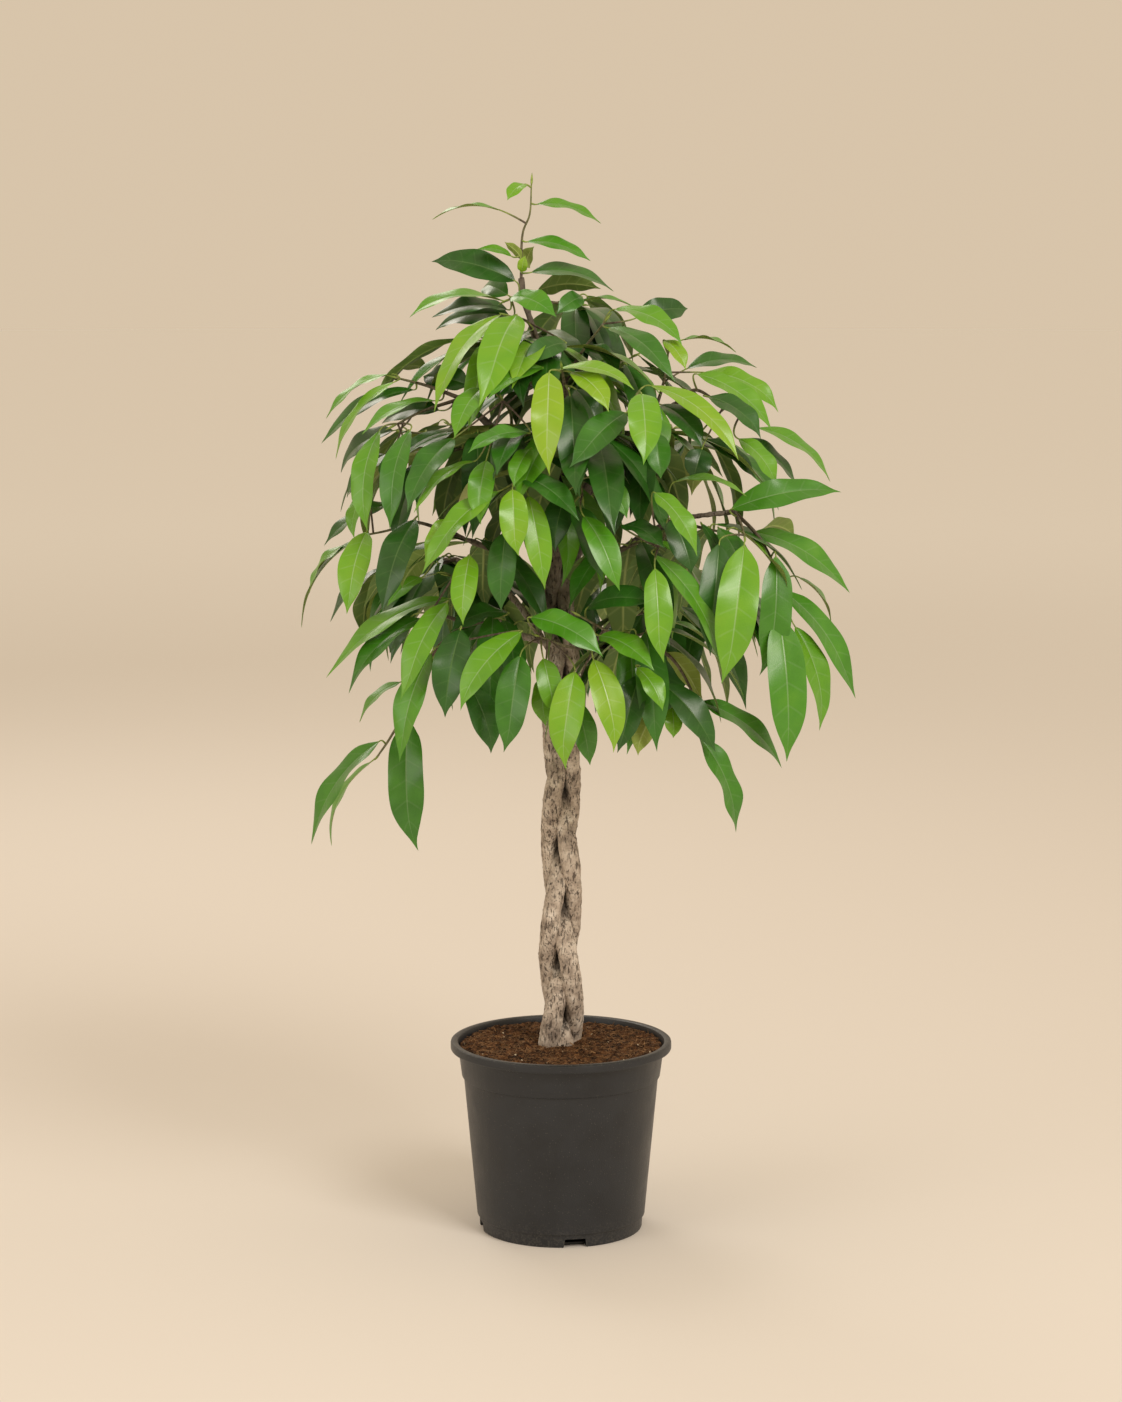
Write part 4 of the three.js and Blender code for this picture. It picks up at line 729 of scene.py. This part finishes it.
        [141, -60, 932, 220, -82, 874, 33, 43, 0.6], [152, -90, 910, 208, -112, 869, 33, 38, 0.12],
        [207, -30, 874, 285, -22, 818, 29, 58, 0.55], [184, -80, 866, 224, -92, 817, 29, 38, 0.6],
        [188, -30, 862, 250, -20, 811, 28, 48, 0.12], [148, -60, 864, 203, -62, 821, 24, 48, 0.15],
        [146, -92, 856, 136, -102, 824, 30, 8, 0.1]]
    },
}

# The shoots that fill the crown behind and inside, grown by rule: [start x, y, z, heading, length, rise,
# leaves], where heading is the compass angle of the twig and rise its climb.
RULE_SHOOTS = {
    "rear_top_shoot": [10, 110, 985, 170, 45, 20, 5],
    "rear_top_left_shoot": [5, 60, 950, -140, 80, 20, 5],
    "rear_top_right_shoot": [-5, 10, 900, 120, 95, 45, 5],
    "rear_high_left_shoot": [-90, 120, 850, -150, 70, 15, 6],
    "rear_high_left_side_shoot": [-90, 120, 850, -95, 80, 10, 5],
    "rear_high_middle_shoot": [-45, 60, 800, 175, 110, 60, 6],
    "rear_high_right_shoot": [90, 120, 840, 150, 70, 20, 6],
    "rear_high_right_side_shoot": [90, 120, 840, 95, 80, 10, 5],
    "rear_low_left_shoot": [-115, 125, 720, -140, 70, -5, 5],
    "rear_low_left_side_shoot": [-115, 125, 720, -85, 75, -15, 5],
    "rear_low_middle_shoot": [0, 130, 700, 180, 80, 0, 6],
    "rear_low_right_shoot": [115, 120, 700, 140, 70, 0, 5],
    "rear_low_right_side_shoot": [115, 120, 700, 85, 75, -10, 5],
    "inner_left_shoot": [-60, -45, 740, -75, 50, 20, 4],
    "inner_high_left_shoot": [-65, -20, 865, -25, 55, 5, 4],
    "inner_right_shoot": [60, -50, 745, 30, 50, 15, 4],
    "inner_high_right_shoot": [70, -25, 860, 40, 45, 10, 4],
    "inner_middle_shoot": [5, 5, 830, -20, 60, -15, 4],
    "inner_top_left_shoot": [-25, 5, 960, -60, 60, 5, 5],
    "inner_top_right_shoot": [-5, 10, 900, 60, 80, 40, 5],
    "inner_top_front_shoot": [-25, 5, 960, 25, 50, -5, 4],
    "inner_low_left_shoot": [-50, -50, 658, -30, 45, 25, 4],
    "inner_low_right_shoot": [55, -90, 650, 60, 50, 20, 4],
    "inner_rear_left_shoot": [-60, 80, 690, -60, 70, 20, 5],
    "inner_rear_right_shoot": [60, 70, 660, 70, 70, 15, 5],
    "inner_side_right_shoot": [120, -78, 780, 60, 60, -10, 4],
    "inner_side_left_shoot": [-65, -20, 865, -80, 70, -20, 5],
    "inner_front_right_shoot": [5, -75, 888, 40, 50, -25, 5],
    "inner_front_left_shoot": [5, -75, 888, -60, 55, -20, 5]}
RULE_SEED = 4201
RULE_GIRTH, BASE_LIFT, STRAIGHT_DROOP_Z = 2.2, 4, 900
SHADE_LEAVES, OLDEST_SHADE = 4, 0.2
CROWN_REACH = [(420, 120), (520, 215), (620, 255), (760, 265), (860, 240), (940, 180), (1020, 100),
               (1140, 10)]


def number_stream(seed):
    """A repeatable stream of numbers between 0 and 1."""
    state = seed
    while True:
        state = state * 16807 % 2147483647
        yield state / 2147483647


def crown_reach(z):
    """The crown's reach from its axis at a height, which the shoots grown by rule stay inside."""
    for (low, inner), (high, outer) in zip(CROWN_REACH, CROWN_REACH[1:]):
        if z <= high:
            return inner + (outer - inner) * max(z - low, 0) / (high - low)
    return 0


def grown_leaf(rule, t, turn, draw):
    """A leaf a share t along a twig grown by rule, turned from it; lower leaves droop more."""
    x, y, z, heading, length, rise, count = rule
    way = math.radians(heading)
    angle = way + math.radians(turn)
    droop = math.radians(18 + 50 * next(draw) + (STRAIGHT_DROOP_Z - z) * 0.05)
    size = 105 + 40 * next(draw)
    stalk = 9 + 9 * next(draw)
    bx = x + length * t * math.sin(way) + stalk * math.sin(angle)
    by = y - length * t * math.cos(way) - stalk * math.cos(angle)
    bz = z + rise * t * (1.3 - 0.3 * t) + BASE_LIFT
    tz = bz - size * math.sin(droop)
    tx = bx + size * math.cos(droop) * math.sin(angle)
    ty = by - size * math.cos(droop) * math.cos(angle)
    shrink = min(1, crown_reach(tz) / math.hypot(tx, ty))
    width = 0.25 * size + 6 * next(draw)
    face = math.degrees(angle) + 30 * (next(draw) - 0.5)
    age = 0.05 + 0.25 * next(draw) if next(draw) < 0.7 else 0.4 + 0.35 * next(draw)
    return [bx, by, bz, tx * shrink, ty * shrink, tz, width, face, age]


def grown_shoot(rule):
    """Leaves stand alternately left and right of the twig, with a few dark ones in its shade."""
    x, y, z, heading, length, rise, count = rule
    way = math.radians(heading)
    twig = [[x + length * t * math.sin(way), y - length * t * math.cos(way), z + rise * t * (1.3 - 0.3 * t)]
            for t in (0, 0.5, 1)]
    leaves = []
    for k in range(count):
        t = 0.25 + 0.75 * (k + 0.5) / count
        turn = (1 if k % 2 else -1) * (20 + 60 * next(draw)) * (1.1 - 0.6 * t)
        leaves.append(grown_leaf(rule, t, turn, draw))
    for k in range(SHADE_LEAVES):
        leaf = grown_leaf(rule, 0.15 + 0.7 * next(shade), 100 + 160 * next(shade), shade)
        leaves.append(leaf[:-1] + [OLDEST_SHADE * next(shade)])
    return {"twig": twig, "girth": RULE_GIRTH, "leaves": leaves}


draw, shade = number_stream(RULE_SEED), number_stream(RULE_SEED + 1)
for name, rule in RULE_SHOOTS.items():
    SHOOTS[name] = grown_shoot(rule)

# The pattern of one blade, which the shoot tree lays along every leaf: a closed thin skin of two
# sheets that share their margin. across runs from -1 to 1, along from the stalk to the tip, and depth
# is the height off the middle of the skin, with a groove above the midrib and a keel below it.
BLADE_ACROSS = [-1, -0.86, -0.66, -0.42, -0.2, -0.06, 0, 0.06, 0.2, 0.42, 0.66, 0.86, 1]
BLADE_ROWS = 30
SKIN_MM, GROOVE_MM, KEEL_MM = 0.26, 0.35, 0.75


def blade_pattern():
    """The pattern as a mesh object with its three numbers on its points and the underside marked."""
    rows = [k / BLADE_ROWS for k in range(1, BLADE_ROWS)]
    wide = len(BLADE_ACROSS)
    points = [(0, 0, 0), (0, 1, 0)]
    index = {}
    for side in (1, -1):
        for r, along in enumerate(rows):
            for c, across in enumerate(BLADE_ACROSS):
                if abs(across) == 1 and side == -1:
                    index[side, r, c] = index[1, r, c]
                    continue
                rib = max(0.0, 1 - abs(across) / 0.1) * (1 - 0.7 * along)
                depth = SKIN_MM - GROOVE_MM * rib if side == 1 else -SKIN_MM - KEEL_MM * rib
                index[side, r, c] = len(points)
                points.append((across, along, 0 if abs(across) == 1 else depth * MM))
    faces, under = [], []
    for side in (1, -1):
        for c in range(wide - 1):
            strip = [(0, index[side, 0, c + 1], index[side, 0, c])]
            strip += [(index[side, r, c], index[side, r, c + 1], index[side, r + 1, c + 1],
                       index[side, r + 1, c])
                      for r in range(len(rows) - 1)]
            strip += [(index[side, len(rows) - 1, c], index[side, len(rows) - 1, c + 1], 1)]
            faces += strip if side == 1 else [face[::-1] for face in strip]
            under += [side == -1] * len(strip)
    mesh = bpy.data.meshes.new("blade_pattern")
    mesh.from_pydata(points, [], faces)
    for key, axis in (("across", 0), ("along", 1), ("depth", 2)):
        mesh.attributes.new(key, "FLOAT", "POINT").data.foreach_set("value", [p[axis] for p in points])
    mesh.attributes.new("underside", "BOOLEAN", "FACE").data.foreach_set("value", under)
    margin = {index[1, r, c] for r in range(len(rows)) for c in (0, wide - 1)} | {0, 1}
    sharp = [set(edge.vertices) <= margin for edge in mesh.edges]
    mesh.attributes.new("sharp_edge", "BOOLEAN", "EDGE").data.foreach_set("value", sharp)
    return piece("blade_pattern", mesh)


# Upper side of a fig leaf: leathery under a clear wax, dark green when old and yellow-green when new,
# with a pale midrib and faint veins that run out to the margin. The wax gives a broad soft gleam.
leaf_wax, tree, shader = material("leaf_wax", IOR=1.42, Coat_Weight=0.4, Coat_Roughness=0.22)
place = add(tree, "ShaderNodeTexCoord").outputs["Object"]
across, along, age, tone = [add(tree, "ShaderNodeAttribute", attribute_name=key).outputs["Fac"]
                            for key in ("across", "along", "age", "tone")]
cloudy = add(tree, "ShaderNodeTexNoise", {"Vector": place, "Scale": 38, "Detail": 4}).outputs[0]
drift = add(tree, "ShaderNodeMath", {0: cloudy, 1: 0.30, 2: -0.15}, operation="MULTIPLY_ADD").outputs[0]
drift = add(tree, "ShaderNodeMath", {0: tone, 1: 0.10, 2: drift}, operation="MULTIPLY_ADD").outputs[0]
ripe = add(tree, "ShaderNodeMath", {0: age, 1: drift}, operation="ADD").outputs[0]
greens = add(tree, "ShaderNodeValToRGB", {0: ripe},
             stops=[(0.0, "#1a4410"), (0.22, "#2c6614"), (0.45, "#488b18"), (0.7, "#6ba51c"),
                    (0.95, "#88b022")]).outputs[0]
beside = add(tree, "ShaderNodeMath", {0: across}, operation="ABSOLUTE").outputs[0]
rib = add(tree, "ShaderNodeMapRange", {0: beside, 1: 0.015, 2: 0.055, 3: 0.26, 4: 0.0}).outputs[0]
fade = add(tree, "ShaderNodeMapRange", {0: along, 1: 0.1, 2: 1.0, 3: 1.0, 4: 0.35}).outputs[0]
rib = add(tree, "ShaderNodeMath", {0: rib, 1: fade}, operation="MULTIPLY").outputs[0]
slant = add(tree, "ShaderNodeMath", {0: beside, 1: -1.1}, operation="MULTIPLY").outputs[0]
count = add(tree, "ShaderNodeMath", {0: along, 1: 13.0, 2: slant}, operation="MULTIPLY_ADD").outputs[0]
tooth = add(tree, "ShaderNodeMath", {0: count, 1: 1.0}, operation="PINGPONG").outputs[0]
vein = add(tree, "ShaderNodeMapRange", {0: tooth, 1: 0.0, 2: 0.16, 3: 1.0, 4: 0.0}).outputs[0]
inside = add(tree, "ShaderNodeMapRange", {0: beside, 1: 0.7, 2: 0.95, 3: 1.0, 4: 0.0}).outputs[0]
vein = add(tree, "ShaderNodeMath", {0: vein, 1: inside}, operation="MULTIPLY").outputs[0]
pale = add(tree, "ShaderNodeValToRGB", {0: age}, stops=[(0.0, "#6f9a3a"), (1.0, "#c0d363")]).outputs[0]
faint = add(tree, "ShaderNodeMath", {0: vein, 1: 0.06}, operation="MULTIPLY").outputs[0]
veined = add(tree, "ShaderNodeMix", {0: faint, 6: greens, 7: pale}, data_type="RGBA").outputs[2]
ribbed = add(tree, "ShaderNodeMix", {0: rib, 6: veined, 7: pale}, data_type="RGBA").outputs[2]
tree.links.new(ribbed, shader.inputs["Base Color"])
gleam = add(tree, "ShaderNodeMapRange", {0: cloudy, 1: 0.3, 2: 0.7, 3: 0.30, 4: 0.42}).outputs[0]
tree.links.new(gleam, shader.inputs["Roughness"])
leather = add(tree, "ShaderNodeTexNoise", {"Vector": place, "Scale": 650, "Detail": 3}).outputs[0]
relief = add(tree, "ShaderNodeMath", {0: vein, 1: -0.25, 2: leather}, operation="MULTIPLY_ADD").outputs[0]
bump = add(tree, "ShaderNodeBump", {"Height": relief, "Strength": 0.35, "Distance": 0.0004}).outputs[0]
tree.links.new(bump, shader.inputs["Normal"])

# Underside of the leaf: paler and matt, sage to olive, with a raised pale midrib.
leaf_back, tree, shader = material("leaf_back", Roughness=0.62, IOR=1.42)
place = add(tree, "ShaderNodeTexCoord").outputs["Object"]
across, along, age = [add(tree, "ShaderNodeAttribute", attribute_name=key).outputs["Fac"]
                      for key in ("across", "along", "age")]
sages = add(tree, "ShaderNodeValToRGB", {0: age},
            stops=[(0.0, "#5b7a45"), (0.3, "#718d48"), (0.6, "#8a9e42"), (0.95, "#ccd095")]).outputs[0]
cloudy = add(tree, "ShaderNodeTexNoise", {"Vector": place, "Scale": 60, "Detail": 5}).outputs[0]
patch = add(tree, "ShaderNodeMapRange", {0: cloudy, 1: 0.35, 2: 0.7, 3: 0.0, 4: 0.35}).outputs[0]
mixed = add(tree, "ShaderNodeMix", {0: patch, 6: sages, 7: colour("#7b8c40")}, data_type="RGBA").outputs[2]
beside = add(tree, "ShaderNodeMath", {0: across}, operation="ABSOLUTE").outputs[0]
rib = add(tree, "ShaderNodeMapRange", {0: beside, 1: 0.03, 2: 0.11, 3: 0.8, 4: 0.0}).outputs[0]
slant = add(tree, "ShaderNodeMath", {0: beside, 1: -1.1}, operation="MULTIPLY").outputs[0]
count = add(tree, "ShaderNodeMath", {0: along, 1: 13.0, 2: slant}, operation="MULTIPLY_ADD").outputs[0]
tooth = add(tree, "ShaderNodeMath", {0: count, 1: 1.0}, operation="PINGPONG").outputs[0]
vein = add(tree, "ShaderNodeMapRange", {0: tooth, 1: 0.0, 2: 0.2, 3: 0.3, 4: 0.0}).outputs[0]
lines = add(tree, "ShaderNodeMath", {0: rib, 1: vein}, operation="MAXIMUM").outputs[0]
ribbed = add(tree, "ShaderNodeMix", {0: lines, 6: mixed, 7: colour("#adbd74")}, data_type="RGBA").outputs[2]
tree.links.new(ribbed, shader.inputs["Base Color"])
bump = add(tree, "ShaderNodeBump", {"Height": lines, "Strength": 0.4, "Distance": 0.0005}).outputs[0]
tree.links.new(bump, shader.inputs["Normal"])

# Twigs and leaf stalks: thin brown bark on the wood, and smooth pale green skin on the stalks and buds.
twig_skin, tree, shader = material("twig_skin", Roughness=0.6)
place = add(tree, "ShaderNodeTexCoord").outputs["Object"]
green = add(tree, "ShaderNodeAttribute", attribute_name="green").outputs["Fac"]
flecks = add(tree, "ShaderNodeTexNoise", {"Vector": place, "Scale": 300, "Detail": 4}).outputs[0]
browns = add(tree, "ShaderNodeValToRGB", {0: flecks},
             stops=[(0.35, "#40342a"), (0.65, "#6c5f50")]).outputs[0]
stalks = add(tree, "ShaderNodeValToRGB", {0: flecks},
             stops=[(0.35, "#6f8a34"), (0.65, "#9fb553")]).outputs[0]
skin = add(tree, "ShaderNodeMix", {0: green, 6: browns, 7: stalks}, data_type="RGBA").outputs[2]
tree.links.new(skin, shader.inputs["Base Color"])
bump = add(tree, "ShaderNodeBump", {"Height": flecks, "Strength": 0.5, "Distance": 0.0004}).outputs[0]
tree.links.new(bump, shader.inputs["Normal"])

# The shoot tree. Lines become round twigs and stalks. Every leaf point gets a blade pattern, whose
# points are then laid along the leaf's midrib: the midrib bows from foot over top to tip, the blade
# folds up a little each side of it, its margin ripples, and its tip hooks to one side.
BLADE_OUTLINE = [(0, 0.0), (0.025, 0.16), (0.09, 0.50), (0.19, 0.82), (0.33, 0.97), (0.48, 1.0),
                 (0.63, 0.92), (0.76, 0.68), (0.86, 0.36), (0.93, 0.13), (1, 0.0)]
pattern = blade_pattern()
shoot_tree, given, result = empty_tree("leafy_shoot", ["Fold", "Ripples"])


def stored(key, kind="FLOAT"):
    """A number or vector that the shoot's points carry."""
    return add(shoot_tree, "GeometryNodeInputNamedAttribute", {"Name": key}, data_type=kind).outputs[0]


def number(sign, *terms):
    """A Math node's result."""
    return add(shoot_tree, "ShaderNodeMath", dict(enumerate(terms)), operation=sign).outputs[0]


def arrow(sign, *terms, scale=None):
    """A Vector Math node's result."""
    inputs = dict(enumerate(terms)) | ({"Scale": scale} if scale is not None else {})
    return add(shoot_tree, "ShaderNodeVectorMath", inputs, operation=sign).outputs[0]


is_leaf = stored("leaf", "BOOLEAN")
parted = add(shoot_tree, "GeometryNodeSeparateGeometry", {0: given["Geometry"], 1: is_leaf}).outputs
lines = add(shoot_tree, "GeometryNodeMeshToCurve", {0: parted["Inverted"]}).outputs[0]
ring = add(shoot_tree, "GeometryNodeCurvePrimitiveCircle", {"Resolution": 8, "Radius": 1.0}).outputs[0]
wood = add(shoot_tree, "GeometryNodeCurveToMesh",
           {"Curve": lines, "Profile Curve": ring, "Scale": stored("girth"), "Fill Caps": True}).outputs[0]
wood = add(shoot_tree, "GeometryNodeSetMaterial", {0: wood, "Material": twig_skin}).outputs[0]

blade = add(shoot_tree, "GeometryNodeObjectInfo", {0: pattern}).outputs["Geometry"]
blades = add(shoot_tree, "GeometryNodeInstanceOnPoints",
             {"Points": parted["Selection"], "Instance": blade}).outputs[0]
blades = add(shoot_tree, "GeometryNodeRealizeInstances", {0: blades}).outputs[0]
across, along = stored("across"), stored("along")
foot, top, tip = [stored(key, "FLOAT_VECTOR") for key in ("foot", "top", "tip")]
legs = [arrow("ADD", arrow("SCALE", b, scale=along), arrow("SCALE", a, scale=number("SUBTRACT", 1.0, along)))
        for a, b in ((foot, top), (top, tip))]
midrib = arrow("ADD", arrow("SCALE", legs[1], scale=along),
               arrow("SCALE", legs[0], scale=number("SUBTRACT", 1.0, along)))
ahead = arrow("NORMALIZE", arrow("SUBTRACT", legs[1], legs[0]))
level = arrow("NORMALIZE", arrow("CROSS_PRODUCT", ahead, stored("lift", "FLOAT_VECTOR")))
twisted = number("MULTIPLY", stored("twist"), number("SUBTRACT", along, 0.15))
side = add(shoot_tree, "ShaderNodeVectorRotate",
           {"Vector": level, "Axis": ahead, "Angle": twisted}).outputs[0]
up = arrow("CROSS_PRODUCT", side, ahead)
outline = add(shoot_tree, "ShaderNodeFloatCurve", {"Value": along}, points=BLADE_OUTLINE).outputs[0]
half = number("MULTIPLY", outline, stored("half"))
beside = number("ABSOLUTE", across)
fold = number("MULTIPLY", number("MULTIPLY", beside, half), given["Fold"])
turns = number("MULTIPLY", number("MULTIPLY_ADD", along, given["Ripples"], stored("phase")), 2 * math.pi)
turns = number("MULTIPLY_ADD", number("SIGN", across), 1.3, turns)
swell = number("MULTIPLY", number("MULTIPLY", number("SINE", turns), stored("ripple")),
               number("MULTIPLY", beside, beside))
swell = number("MULTIPLY", swell, outline)
raised = number("ADD", number("ADD", fold, swell), stored("depth"))
past = number("MAXIMUM", number("SUBTRACT", along, 0.7), 0.0)
hook = number("MULTIPLY", number("MULTIPLY", past, past), stored("hook"))
sideways = number("MULTIPLY_ADD", across, half, hook)
spot = arrow("ADD", midrib,
             arrow("ADD", arrow("SCALE", side, scale=sideways), arrow("SCALE", up, scale=raised)))
blades = add(shoot_tree, "GeometryNodeSetPosition", {"Geometry": blades, "Position": spot}).outputs[0]
blades = add(shoot_tree, "GeometryNodeSetMaterial", {0: blades, "Material": leaf_wax}).outputs[0]
blades = add(shoot_tree, "GeometryNodeSetMaterial",
             {0: blades, "Selection": stored("underside", "BOOLEAN"), "Material": leaf_back}).outputs[0]
joined = add(shoot_tree, "GeometryNodeJoinGeometry")
shoot_tree.links.new(wood, joined.inputs[0])
shoot_tree.links.new(blades, joined.inputs[0])
shoot_tree.links.new(add(shoot_tree, "GeometryNodeSetShadeSmooth", {0: joined.outputs[0]}).outputs[0],
                     result[0])

LEAF_BOW, FACE_LIFT, HALF_SHARE, FOLD, RIPPLES = 0.13, 0.6, 0.47, 0.16, 2.1
TWIG_TIP_SHARE, STALK_RADIUS, STALK_GREEN = 0.45, 1.0, 26.0
BUD = [(3.0, 1.25), (6.0, 1.3), (9.0, 0.9), (13.0, 0.15)]
QUIRK_SEED = 977
quirk = number_stream(QUIRK_SEED)
for node, shoot in SHOOTS.items():
    path = smooth_path([Vector(p) for p in shoot["twig"]], 2.5)
    taper = shoot["girth"] * (TWIG_TIP_SHARE - 1) / (len(path) - 1)
    young = 0.55 if node == "leader_shoot" else 0.25
    twig = [(p, shoot["girth"] + taper * k, young * (k / len(path)) ** 2) for k, p in enumerate(path)]
    end = (path[-1] - path[-2]).normalized()
    twig += [(path[-1] + end * reach, radius, 0.9) for reach, radius in BUD]
    lines, blades = [twig], []
    for bx, by, bz, tx, ty, tz, width, face, age in shoot["leaves"]:
        foot, tip = Vector((bx, by, bz)), Vector((tx, ty, tz))
        level, turn = math.sqrt(1 - FACE_LIFT ** 2), math.radians(face)
        facing = Vector((level * math.sin(turn), -level * math.cos(turn), FACE_LIFT))
        chord = (tip - foot).normalized()
        lift = (facing - facing.dot(chord) * chord).normalized()
        length = (tip - foot).length
        top = (foot + tip) / 2 + lift * 2 * LEAF_BOW * length
        anchor = min(path[2:-1], key=lambda p: (p - foot).length)
        start = (top - foot).normalized()
        span = (foot - anchor).length
        elbow = foot - start * min(0.45 * span, 12.0)
        steps = max(5, round(span / 3))
        stalk = [anchor * (1 - t) ** 2 + elbow * 2 * t * (1 - t) + foot * t * t
                 for t in (k / steps for k in range(steps + 1))] + [foot + start * length * 0.03]
        lines.append([(p, STALK_RADIUS * (1.15 - 0.45 * k / steps),
                       1 - min(1.0, (p - foot).length / STALK_GREEN))
                      for k, p in enumerate(stalk)])
        blades.append({"foot": foot * MM, "top": top * MM, "tip": tip * MM, "lift": lift,
                       "half": width * HALF_SHARE * MM,
                       "age": age, "tone": next(quirk) - 0.5, "phase": next(quirk),
                       "twist": 0.7 * (next(quirk) - 0.5),
                       "ripple": (0.8 + 1.6 * next(quirk)) * MM * width / 32,
                       "hook": 1.3 * (next(quirk) - 0.5) * length * MM})
    mesh = skeleton(node, lines)
    first = len(mesh.vertices)
    mesh.vertices.add(len(blades))
    for key in ("foot", "top", "tip", "lift", "half", "age", "tone", "phase", "twist", "ripple", "hook"):
        is_vector = isinstance(blades[0][key], Vector)
        layer = mesh.attributes.new(key, "FLOAT_VECTOR" if is_vector else "FLOAT", "POINT")
        for k, values in enumerate(blades):
            if is_vector:
                layer.data[first + k].vector = values[key]
            else:
                layer.data[first + k].value = values[key]
    leaf = mesh.attributes.new("leaf", "BOOLEAN", "POINT")
    for k in range(len(blades)):
        leaf.data[first + k].value = True
    leafy = grow(node.replace("_shoot", "_leaves"), mesh, shoot_tree, {"Fold": FOLD, "Ripples": RIPPLES})
    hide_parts(node)
    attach(leafy, "root")
bpy.data.objects.remove(pattern)
